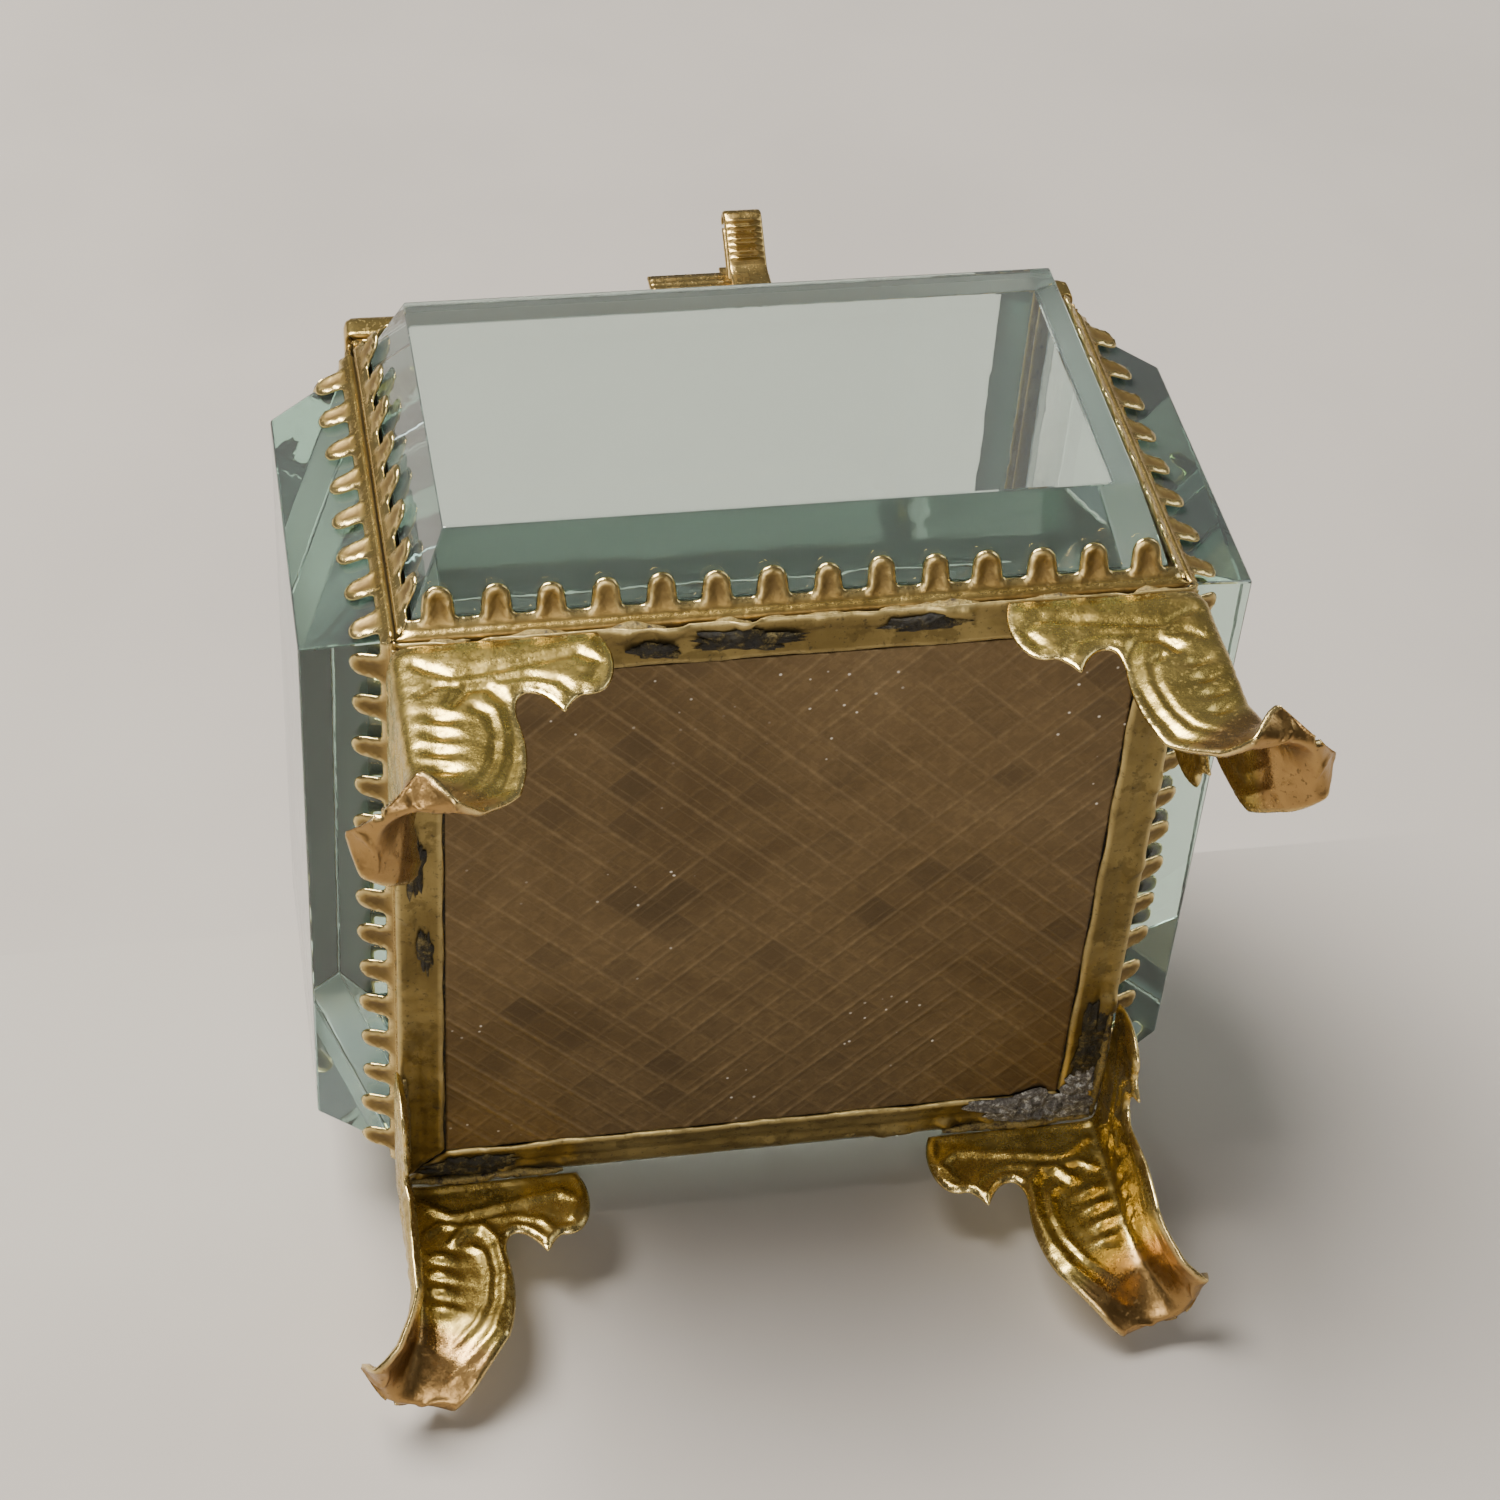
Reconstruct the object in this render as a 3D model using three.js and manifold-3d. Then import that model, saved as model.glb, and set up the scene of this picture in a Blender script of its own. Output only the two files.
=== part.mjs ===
// A footed trinket casket: gilt-brass gallery strips around five thick bevelled glass panels, with a
// hinged lid, a sprung thumb catch and four folded corner feet.
//
// Millimetres, +Z up. The origin is on the surface the casket stands on, under the middle of the box.
// The front, with the catch, faces -Y; the lid hinge is at the back.
import * as THREE from 'three';
import { mergeVertices } from 'three/addons/utils/BufferGeometryUtils.js';
import Module from 'manifold-3d';

const wasm = await Module();
wasm.setup();

// Driving dimensions
const BOX = 50; // outside of the brass frame, both ways
const LEG = 17; // floor to the underside of the base
const RAIL = 0.4; // thickness of the base rails
const GAP = 0.3; // clearance between neighbouring pieces
const WALL = 30.1; // height of a wall's frame
const LID_RIM = 2; // height of the lid's upright rim
const FRAME = 3; // depth of every channel, and width of the base rails
const SHEET = 0.45; // brass sheet
const PLATE = 0.6; // thickness of the base plate
const PLATE_LIFT = 0.1; // base plate, above the underside of the rails

// Glass
const PANE = 2.4; // glass behind the face of the frame
const RIM_INSET = 1.6; // edge of a panel, in from the edge of its frame
const FLAT_INSET = 3.7; // edge of a panel's raised flat, in from the edge of its frame
const PROUD = 5.1; // wall glass, out from the frame
const LID_FLAT_INSET = 4.4; // the same two for the lid's glass
const LID_PROUD = 3.6;

// Gallery teeth
const TOOTH_PITCH = 3.3;
const TOOTH_WIDTH = 1.7;
const TOOTH_LENGTH = 1.95; // beyond the valleys
const VALLEY = 0.3; // valleys, up the bevel from the face of the frame
const LIP = 1.3; // flat part of the lip, in from the edge of the frame

// Hinge at the back
const HINGE_OUT = 2.1; // axis, behind the frame
const KNUCKLE_RADIUS = 1;
const BORE_RADIUS = 0.65;
const PIN_RADIUS = 0.4;
const PIN_END = 0.4; // pin, beyond each end of the hinge
const KNUCKLE = 4.8; // length of each of the three knuckles
const BODY_LEAF = 1.4; // each leaf, away from the level of the axis
const LID_LEAF = 1.9;
const LEAF_TONGUE = 0.75;

// Catch at the front
const CATCH_WIDTH = 8.2;
const CATCH_RISE = 1.9; // catch plate above the lid's rim
const THUMB_RISE = 2.5; // the same, where the plate carries the thumb-piece
const THUMB_MARGIN = 0.3; // that raised part, past the thumb-piece on each side
const CATCH_FOOT = 0.2; // lower edge of the catch plate, above the lid's underside
const CATCH_SHEET = 0.5;
const THUMB_WIDTH = 2.6;
const THUMB_X = 2.5; // middle of the thumb-piece
const THUMB_LENGTH = 5;
const THUMB_TILT = 53; // degrees up from level
const THUMB_ROOT = 0.5; // lower end of the hairpin's centre line, above the lid's rim
const THUMB_OPENING = 0.6; // between the two legs of the hairpin

// Heights worked out from the dimensions above
const HALF = BOX / 2;
const WALL_BOTTOM = LEG + RAIL + GAP;
const WALL_TOP = WALL_BOTTOM + WALL;
const LID_BOTTOM = WALL_TOP + GAP;
const LID_TOP = LID_BOTTOM + LID_RIM;
const HINGE_HALF = 1.5 * KNUCKLE + GAP; // half the length of the hinge

// Materials
const brass = new THREE.MeshStandardMaterial({ color: 0xc8aa5a, roughness: 0.32, metalness: 1 });
const bronze = new THREE.MeshStandardMaterial({ color: 0x7a5f38, roughness: 0.55, metalness: 0.8 });
const glass = new THREE.MeshStandardMaterial({ color: 0xa9c4b8, roughness: 0.05, metalness: 0 });
const steel = new THREE.MeshStandardMaterial({ color: 0x8d8676, roughness: 0.4, metalness: 1 });

// ---- solids -----------------------------------------------------------------------------------------

// A closed three.js geometry as a solid that can be joined and cut.
function solid(geometry) {
  const bare = geometry.index ? geometry.toNonIndexed() : geometry.clone();
  for (const name of Object.keys(bare.attributes)) {
    if (name !== 'position') bare.deleteAttribute(name);
  }
  const merged = mergeVertices(bare, 1e-4);
  return new wasm.Manifold(
    new wasm.Mesh({
      numProp: 3,
      vertProperties: new Float32Array(merged.attributes.position.array),
      triVerts: new Uint32Array(merged.index.array),
    }),
  );
}

// The solid as a three.js geometry again.
function geometryOf(body) {
  const mesh = body.getMesh();
  const geometry = new THREE.BufferGeometry();
  geometry.setAttribute('position', new THREE.BufferAttribute(new Float32Array(mesh.vertProperties), 3));
  geometry.setIndex(new THREE.BufferAttribute(new Uint32Array(mesh.triVerts), 1));
  return geometry;
}

function join(bodies) {
  return bodies.reduce((sum, body) => sum.add(body));
}

// A box between two corners.
function block(low, high) {
  const size = high.map((value, axis) => value - low[axis]);
  const geometry = new THREE.BoxGeometry(...size);
  geometry.translate(...low.map((value, axis) => value + size[axis] / 2));
  return geometry;
}

// An outline extruded along `out`, starting at `from`. The outline's own two directions are `along` and
// `up`, and the three are unit vectors in right-handed order.
function prism(outline, along, up, out, from, depth) {
  const isShape = outline instanceof THREE.Shape;
  const points = isShape ? [] : outline.map(([a, b]) => new THREE.Vector2(a, b));
  const shape = isShape ? outline : new THREE.Shape(points);
  const geometry = new THREE.ExtrudeGeometry(shape, { depth, bevelEnabled: false, curveSegments: 5 });
  geometry.translate(0, 0, from);
  geometry.applyMatrix4(new THREE.Matrix4().makeBasis(along, up, out));
  return geometry;
}

const X = new THREE.Vector3(1, 0, 0);
const Y = new THREE.Vector3(0, 1, 0);
const Z = new THREE.Vector3(0, 0, 1);

// ---- glass panels -----------------------------------------------------------------------------------

// A bevelled panel. Locally X runs along it, Y up it and Z out of it, with the frame's outer face at Z = 0.
// The part behind the frame narrows by `mitre` at both ends, so that neighbouring walls meet along a
// diagonal.
function panel({ width, height, proud, flatInset, depth, mitre }) {
  const rim = [width / 2 - RIM_INSET, height / 2 - RIM_INSET];
  const rings = [
    [rim[0] - mitre, rim[1], -depth],
    [rim[0], rim[1], -depth + mitre],
    [rim[0], rim[1], 0],
    [width / 2 - flatInset, height / 2 - flatInset, proud],
  ].filter((ring, row) => mitre > 0 || row !== 1);
  const positions = rings.flatMap(([x, y, z]) => [-x, -y, z, x, -y, z, x, y, z, -x, y, z]);
  const index = [0, 2, 1, 0, 3, 2];
  for (let ring = 0; ring + 1 < rings.length; ring += 1) {
    for (let side = 0; side < 4; side += 1) {
      const a = ring * 4 + side;
      const b = ring * 4 + ((side + 1) % 4);
      index.push(a, b, b + 4, a, b + 4, a + 4);
    }
  }
  const top = (rings.length - 1) * 4;
  index.push(top, top + 1, top + 2, top, top + 2, top + 3);
  const geometry = new THREE.BufferGeometry();
  geometry.setAttribute('position', new THREE.Float32BufferAttribute(positions, 3));
  geometry.setIndex(index);
  return geometry;
}

// ---- gallery strips ---------------------------------------------------------------------------------
// Every strip is made in the same frame: X along it, Y in from the edge of the panel's frame, Z out of the
// face.

const TOOTH_ROOT = 0.42; // how far the toothed lip starts below the face

// The lip that lies on the glass bevel, with its row of round-ended teeth.
function toothedLip(length, flatInset, proud) {
  const bevel = new THREE.Vector2(flatInset - RIM_INSET, proud).normalize();
  const up = new THREE.Vector3(0, bevel.x, bevel.y);
  const out = new THREE.Vector3(0, -bevel.y, bevel.x);
  const count = Math.round((length - 2 * LIP) / TOOTH_PITCH);
  const pitch = (length - 2 * LIP) / count;
  const round = TOOTH_WIDTH / 2;
  const shoulder = VALLEY + TOOTH_LENGTH - round;
  const tip = VALLEY + TOOTH_LENGTH;
  const shape = new THREE.Shape();
  shape.moveTo(-length / 2, -TOOTH_ROOT);
  shape.lineTo(length / 2, -TOOTH_ROOT);
  shape.lineTo(length / 2, VALLEY);
  for (let tooth = count - 1; tooth >= 0; tooth -= 1) {
    const x = (tooth - (count - 1) / 2) * pitch;
    shape.lineTo(x + round, VALLEY);
    shape.lineTo(x + round, shoulder);
    shape.lineTo(x + round / 2, tip);
    shape.lineTo(x - round / 2, tip);
    shape.lineTo(x - round, shoulder);
    shape.lineTo(x - round, VALLEY);
  }
  shape.lineTo(-length / 2, VALLEY);
  const geometry = prism(shape, X, up, out, GAP, SHEET);
  geometry.translate(0, RIM_INSET, 0);
  return solid(geometry);
}

const MITRE_TRIM = GAP / Math.SQRT2;
const REACH = 6; // how far the cutting wedges reach past a strip's face and its outer edge

// A wedge that closes away from Y = 0 at 45 degrees, for cutting a strip to its mitres.
function wedge(length) {
  const end = length / 2 - MITRE_TRIM;
  const outline = [
    [-end, 0],
    [end, 0],
    [end - REACH, REACH],
    [-end + REACH, REACH],
  ];
  return solid(prism(outline, X, Y, Z, -FRAME - 1, FRAME + 1 + REACH));
}

// The same cut seen from above, where two walls meet at a corner of the box.
function cornerWedge() {
  const end = HALF - MITRE_TRIM;
  const outline = [
    [-end, REACH],
    [-end, 0],
    [-end + FRAME + 1, -FRAME - 1],
    [end - FRAME - 1, -FRAME - 1],
    [end, 0],
    [end, REACH],
  ];
  return solid(prism(outline, X, Z, Y.clone().negate(), -REACH, REACH + 1));
}

// The bottom or top strip of a wall: a level web behind the face, a lip and its teeth.
function levelStrip() {
  const whole = join([
    solid(block([-HALF, 0, -FRAME + GAP], [HALF, SHEET, 0])),
    solid(block([-HALF, 0, -SHEET], [HALF, LIP, 0])),
    toothedLip(BOX, FLAT_INSET, PROUD),
  ]);
  return whole.intersect(wedge(BOX)).intersect(cornerWedge());
}

// The back wall's top strip leaves its face clear for the hinge leaf.
function hingeStrip() {
  const clear = HINGE_HALF + GAP;
  return levelStrip().subtract(solid(block([-clear, -1, 0], [clear, FRAME + 1, FRAME + 1])));
}

// An upright strip of a wall: a web along the corner's diagonal, a lip and its teeth.
const UPRIGHT_WEB = 2.25; // how far the web reaches in along both walls

function uprightStrip() {
  const web = SHEET * Math.SQRT2;
  const reach = UPRIGHT_WEB;
  const profile = [
    [MITRE_TRIM, 0],
    [MITRE_TRIM + reach, -reach],
    [MITRE_TRIM + web + reach, -reach],
    [MITRE_TRIM + web + SHEET, -SHEET],
    [LIP, -SHEET],
    [LIP, 0],
  ];
  const whole = join([
    solid(prism(profile, Y, Z, X, -WALL / 2, WALL)),
    toothedLip(WALL, FLAT_INSET, PROUD),
  ]);
  return whole.intersect(wedge(WALL));
}

// One side of the lid frame: a flange under the glass, an upright face, and a lip with teeth above. X runs
// along it, Y in from the box's outer face and Z up, with Z = 0 at the top of the rim.
function lidStrip() {
  const whole = join([
    solid(block([-HALF, 0, -LID_RIM], [HALF, SHEET, 0])),
    solid(block([-HALF, 0, -LID_RIM], [HALF, FRAME, -LID_RIM + SHEET])),
    solid(block([-HALF, 0, -SHEET], [HALF, LIP, 0])),
    toothedLip(BOX, LID_FLAT_INSET, LID_PROUD),
  ]);
  return whole.intersect(wedge(BOX));
}

// ---- feet -------------------------------------------------------------------------------------------

const FOOT_SHEET = 0.6;
const FOOT_INSET = 0.1; // the foot's outer faces, in from the box's

// The foot starts to curl outwards along a V-shaped line, which meets the fold at one depth and the wings'
// edges at another.
const ANKLE_FOLD = 9.6;
const ANKLE_EDGE = { across: 5.7, down: 13.6 };
const ANKLE_OVERLAP = 0.3; // the wings run on under the tongue, so that they join

// One wing of a foot, folded flat: distance from the corner, and depth below the base.
function footOutline() {
  const shape = new THREE.Shape();
  shape.moveTo(0, GAP);
  shape.lineTo(12, GAP);
  shape.quadraticCurveTo(12.9, 2.2, 12.2, 4.3);
  shape.quadraticCurveTo(11.4, 6, 9.2, 6.7);
  shape.quadraticCurveTo(8.3, 4.9, 7.2, 4.9);
  shape.quadraticCurveTo(6.3, 5, 6.2, 6.6);
  shape.quadraticCurveTo(6.8, 10.6, ANKLE_EDGE.across, ANKLE_EDGE.down);
  shape.lineTo(0, ANKLE_FOLD + ANKLE_OVERLAP);
  return shape;
}

// The tongue below the ankle, which folds out along the diagonal and curls up. Each line runs from one edge
// over the fold to the other edge; `out` and `down` each give the value at the fold and at the edges, and
// `round` says how softly the line turns at the fold.
const TOE_LINES = [
  { across: 4.03, out: [-0.05, -4.03], down: [9.6, 13.4], round: 1 },
  { across: 3.85, out: [0.45, -2.6], down: [12.2, 15.4], round: 1.15 },
  { across: 3.95, out: [1.5, -0.4], down: [14.8, 16.8], round: 1.45 },
  { across: 4.05, out: [2.6, 1.6], down: [16.4, 17.1], round: 1.8 },
  { across: 4, out: [3.4, 2.6], down: [16.6, 15.6], round: 2.1 },
];
const TOE_ROWS = 10;
const TOE_COLUMNS = 12;

function toe() {
  const columns = Array.from({ length: TOE_COLUMNS + 1 }, (_, column) => {
    const side = (2 * column) / TOE_COLUMNS - 1;
    const points = TOE_LINES.map(({ across, out, down, round }) => {
      const share = Math.abs(side) ** round;
      const lerp = THREE.MathUtils.lerp;
      return new THREE.Vector3(across * side, lerp(out[0], out[1], share), -lerp(down[0], down[1], share));
    });
    return new THREE.CatmullRomCurve3(points).getPoints(TOE_ROWS);
  });
  const rows = columns[0].map((_, row) => columns.map((column) => column[row]));
  return sheet(rows, FOOT_SHEET);
}

// A closed sheet with the grid's points on its front; the back lies `thickness` behind them.
function sheet(front, thickness) {
  const rows = front.length;
  const columns = front[0].length;
  const step = (line, at, last) => [line(Math.max(at - 1, 0)), line(Math.min(at + 1, last))];
  const back = front.map((row, r) =>
    row.map((point, c) => {
      const [above, below] = step((at) => front[at][c], r, rows - 1);
      const [left, right] = step((at) => row[at], c, columns - 1);
      const normal = right.clone().sub(left).cross(below.clone().sub(above)).normalize();
      return point.clone().addScaledVector(normal, -thickness);
    }),
  );
  const positions = [...front.flat(), ...back.flat()].flatMap((point) => point.toArray());
  const index = [];
  const at = (side, row, column) => (side * rows + row) * columns + column;
  const quad = (a, b, c, d) => index.push(a, b, c, a, c, d);
  for (let r = 0; r + 1 < rows; r += 1) {
    const last = columns - 1;
    for (let c = 0; c < last; c += 1) {
      quad(at(0, r, c), at(0, r, c + 1), at(0, r + 1, c + 1), at(0, r + 1, c));
      quad(at(1, r, c), at(1, r + 1, c), at(1, r + 1, c + 1), at(1, r, c + 1));
    }
    quad(at(0, r, 0), at(0, r + 1, 0), at(1, r + 1, 0), at(1, r, 0));
    quad(at(0, r, last), at(1, r, last), at(1, r + 1, last), at(0, r + 1, last));
  }
  for (let c = 0; c + 1 < columns; c += 1) {
    const last = rows - 1;
    quad(at(0, 0, c), at(1, 0, c), at(1, 0, c + 1), at(0, 0, c + 1));
    quad(at(0, last, c), at(0, last, c + 1), at(1, last, c + 1), at(1, last, c));
  }
  const geometry = new THREE.BufferGeometry();
  geometry.setAttribute('position', new THREE.Float32BufferAttribute(positions, 3));
  geometry.setIndex(index);
  return solid(geometry);
}

// A whole foot for the +X +Y corner, with its fold on the Z axis and the base's underside at Z = 0.
function foot() {
  const down = Z.clone().negate();
  const west = X.clone().negate();
  const south = Y.clone().negate();
  const across = new THREE.Vector3(1, -1, 0).normalize();
  const diagonal = new THREE.Vector3(1, 1, 0).normalize();
  const turn = new THREE.Matrix4().makeBasis(across, diagonal, Z);
  const tongue = geometryOf(toe()).applyMatrix4(turn);
  const whole = join([
    solid(prism(footOutline(), west, down, south, 0, FOOT_SHEET)),
    solid(prism(footOutline(), south, down, X, -FOOT_SHEET, FOOT_SHEET)),
    solid(tongue),
  ]);
  return whole.intersect(solid(block([-HALF, -HALF, -LEG], [HALF, HALF, 0])));
}

// ---- hinge ------------------------------------------------------------------------------------------
// X along the axis, Y out of the back of the box, Z up, with the axis through the origin.

function knuckle(x) {
  const end = KNUCKLE / 2;
  const ring = [
    [BORE_RADIUS, -end],
    [KNUCKLE_RADIUS, -end],
    [KNUCKLE_RADIUS, end],
    [BORE_RADIUS, end],
    [BORE_RADIUS, -end],
  ];
  const geometry = new THREE.LatheGeometry(ring.map(([r, y]) => new THREE.Vector2(r, y)), 20);
  geometry.rotateZ(Math.PI / 2);
  geometry.translate(x, 0, 0);
  return solid(geometry);
}

// A leaf on the box's face, above or below the axis, with a tongue to each of its knuckles.
const LEAF_NEAR = GAP / 2; // edge of the leaf nearest the axis

function leaf(knuckles, up, height) {
  const span = (from, to) => (up > 0 ? [from, to] : [-to, -from]);
  const [low, high] = span(LEAF_NEAR, height);
  const [tongueLow, tongueHigh] = span(LEAF_NEAR, LEAF_TONGUE);
  const face = -HINGE_OUT + GAP;
  const tongueEnd = -(BORE_RADIUS + KNUCKLE_RADIUS) / 2;
  return join([
    solid(block([-HINGE_HALF, face, low], [HINGE_HALF, face + SHEET, high])),
    ...knuckles.map((x) => knuckle(x)),
    ...knuckles.map((x) =>
      solid(block([x - KNUCKLE / 2, face, tongueLow], [x + KNUCKLE / 2, tongueEnd, tongueHigh])),
    ),
  ]);
}

// ---- catch ------------------------------------------------------------------------------------------
// X along the front of the box, Y up the thumb-piece, Z out of its ribbed side.

const HAIRPIN = THUMB_OPENING / 2 + SHEET; // outer radius of the bend
const TAB_GAP = 0.5; // between the thumb-piece's tab and the catch plate
const TAB_DROP = 0.6; // tab, below the top of the wall
const TAB_LAP = 0.35; // tab, past the lower end of the ribbed leg
const RIBS = 6;
const RIB = 0.2; // height of a rib
const RIB_START = 1.5; // first rib, up the thumb-piece
const LEG_START = 0.6; // lower end of the ribbed leg, up the thumb-piece
const FIXED_START = -0.4; // lower end of the fixed leg

// The ribbed leg with its bend, from near the plate round to the end of the fixed leg.
function thumbLeg() {
  const inner = THUMB_OPENING / 2;
  const bend = THUMB_LENGTH - HAIRPIN;
  const shape = new THREE.Shape();
  shape.moveTo(LEG_START, inner);
  shape.lineTo(bend, inner);
  shape.absarc(bend, 0, inner, Math.PI / 2, -Math.PI / 2, true);
  shape.lineTo(bend, -HAIRPIN);
  shape.absarc(bend, 0, HAIRPIN, -Math.PI / 2, Math.PI / 2, false);
  shape.lineTo(LEG_START, HAIRPIN);
  const ribPitch = (bend - RIB_START) / RIBS;
  const ribs = Array.from({ length: RIBS }, (_, rib) => {
    const y = RIB_START + (rib + 1 / 4) * ribPitch;
    const low = [-THUMB_WIDTH / 2, y, HAIRPIN - RIB / 2];
    return solid(block(low, [THUMB_WIDTH / 2, y + ribPitch / 2, HAIRPIN + RIB]));
  });
  return join([solid(prism(shape, Y, Z, X, -THUMB_WIDTH / 2, THUMB_WIDTH)), ...ribs]);
}

// The hairpin's fixed leg, which stops short of the bend.
function fixedLeg() {
  const low = [-THUMB_WIDTH / 2, FIXED_START, -HAIRPIN];
  return solid(block(low, [THUMB_WIDTH / 2, THUMB_LENGTH - HAIRPIN - GAP, -THUMB_OPENING / 2]));
}

// ---- assembly ---------------------------------------------------------------------------------------

const casket = new THREE.Group();

// The four sides, as turns about Z from the front
const SIDES = [
  { name: 'front', turn: 0 },
  { name: 'right', turn: Math.PI / 2 },
  { name: 'back', turn: Math.PI },
  { name: 'left', turn: -Math.PI / 2 },
];

function add(parent, name, geometry, material) {
  const mesh = new THREE.Mesh(geometry, material);
  mesh.name = name;
  parent.add(mesh);
  return mesh;
}

// Base: a patterned plate inside four mitred rails
function addBase() {
  const half = HALF - FRAME - GAP;
  const underside = LEG + PLATE_LIFT;
  const plate = block([-half, -half, underside], [half, half, underside + PLATE]);
  add(casket, 'base_plate', plate, bronze);
  const rail = geometryOf(solid(block([-HALF, 0, 0], [HALF, FRAME, RAIL])).intersect(wedge(BOX)));
  SIDES.forEach(({ name, turn }) => {
    const side = new THREE.Group();
    side.rotation.z = turn;
    add(side, `base_rail_${name}`, rail, brass).position.set(0, -HALF, LEG);
    casket.add(side);
  });
}

// Walls: each a glass panel in four strips, built facing out along its own Z
function addWalls() {
  const paneShape = {
    width: BOX,
    height: WALL,
    proud: PROUD,
    flatInset: FLAT_INSET,
    depth: PANE,
    mitre: PANE - GAP,
  };
  const level = geometryOf(levelStrip());
  const hinged = geometryOf(hingeStrip());
  const upright = geometryOf(uprightStrip());
  const facing = new THREE.Matrix4().makeBasis(X, Z, Y.clone().negate());
  SIDES.forEach(({ name, turn }) => {
    const side = new THREE.Group();
    side.rotation.z = turn;
    const wall = new THREE.Group();
    wall.rotation.setFromRotationMatrix(facing);
    wall.position.set(0, -HALF, (WALL_BOTTOM + WALL_TOP) / 2);
    add(wall, `glass_${name}`, panel(paneShape), glass);
    add(wall, `strip_${name}_bottom`, level, brass).position.y = -WALL / 2;
    const top = add(wall, `strip_${name}_top`, name === 'back' ? hinged : level, brass);
    top.position.y = WALL / 2;
    top.rotation.z = Math.PI;
    const left = add(wall, `strip_${name}_left`, upright, brass);
    left.position.x = -HALF;
    left.rotation.z = -Math.PI / 2;
    const right = add(wall, `strip_${name}_right`, upright, brass);
    right.position.x = HALF;
    right.rotation.z = Math.PI / 2;
    side.add(wall);
    casket.add(side);
  });
}

// Lid: a glass panel lying in four strips
function addLid() {
  const pane = panel({
    width: BOX,
    height: BOX,
    proud: LID_PROUD,
    flatInset: LID_FLAT_INSET,
    depth: LID_RIM - SHEET - GAP,
    mitre: 0,
  });
  add(casket, 'glass_lid', pane, glass).position.z = LID_TOP;
  const strip = geometryOf(lidStrip());
  SIDES.forEach(({ name, turn }) => {
    const side = new THREE.Group();
    side.rotation.z = turn;
    add(side, `lid_strip_${name}`, strip, brass).position.set(0, -HALF, LID_TOP);
    casket.add(side);
  });
}

// Feet: the same stamping at each corner, a quarter turn on from the last
function addFeet() {
  const stamping = geometryOf(foot());
  const corners = ['back_right', 'back_left', 'front_left', 'front_right'];
  corners.forEach((name, quarter) => {
    const corner = new THREE.Group();
    corner.rotation.z = (quarter * Math.PI) / 2;
    const reach = HALF - FOOT_INSET;
    add(corner, `foot_${name}`, stamping, brass).position.set(reach, reach, LEG);
    casket.add(corner);
  });
}

// Hinge: two knuckles on the body, one on the lid, and a pin
function addHinge() {
  const hinge = new THREE.Group();
  hinge.position.set(0, HALF + HINGE_OUT, (WALL_TOP + LID_BOTTOM) / 2);
  const outer = KNUCKLE + GAP;
  add(hinge, 'hinge_body_leaf', geometryOf(leaf([-outer, outer], -1, BODY_LEAF)), brass);
  add(hinge, 'hinge_lid_leaf', geometryOf(leaf([0], 1, LID_LEAF)), brass);
  const pin = new THREE.CylinderGeometry(PIN_RADIUS, PIN_RADIUS, 2 * (HINGE_HALF + PIN_END), 16);
  pin.rotateZ(Math.PI / 2);
  add(hinge, 'hinge_pin', pin, steel);
  casket.add(hinge);
}

// Catch: a plate on the lid's front with one leg of a hairpin, and the sprung leg that the thumb presses
function addCatch() {
  const face = -HALF - GAP;
  const front = face - CATCH_SHEET;
  const tilt = THREE.MathUtils.degToRad(THUMB_TILT);
  const along = new THREE.Vector3(0, -Math.cos(tilt), Math.sin(tilt));
  const ribbed = new THREE.Vector3(0, -Math.sin(tilt), -Math.cos(tilt));
  const place = new THREE.Matrix4().makeBasis(X, along, ribbed);
  place.setPosition(THUMB_X, front, LID_TOP + THUMB_ROOT);
  const placed = (body) => solid(geometryOf(body).applyMatrix4(place));
  const plate = block(
    [-CATCH_WIDTH / 2, front, LID_BOTTOM + CATCH_FOOT],
    [CATCH_WIDTH / 2, face, LID_TOP + CATCH_RISE],
  );
  const reach = THUMB_WIDTH / 2 + THUMB_MARGIN;
  const raised = block(
    [THUMB_X - reach, front, LID_BOTTOM + CATCH_FOOT],
    [Math.min(THUMB_X + reach, CATCH_WIDTH / 2), face, LID_TOP + THUMB_RISE],
  );
  const fixed = join([solid(plate), solid(raised), placed(fixedLeg())]);
  add(casket, 'catch_plate', geometryOf(fixed), brass);
  const tabFace = front - TAB_GAP;
  const root = new THREE.Vector3(0, LEG_START, HAIRPIN).applyMatrix4(place);
  const tab = block(
    [THUMB_X - THUMB_WIDTH / 2, tabFace - SHEET, WALL_TOP - TAB_DROP],
    [THUMB_X + THUMB_WIDTH / 2, tabFace, root.z + TAB_LAP],
  );
  add(casket, 'catch_thumb', geometryOf(join([solid(tab), placed(thumbLeg())])), brass);
}

addBase();
addWalls();
addLid();
addFeet();
addHinge();
addCatch();

export default casket;
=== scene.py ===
import math
import random

import bmesh
import bpy
import numpy as np
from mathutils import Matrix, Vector, noise
from mathutils.geometry import delaunay_2d_cdt


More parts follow.
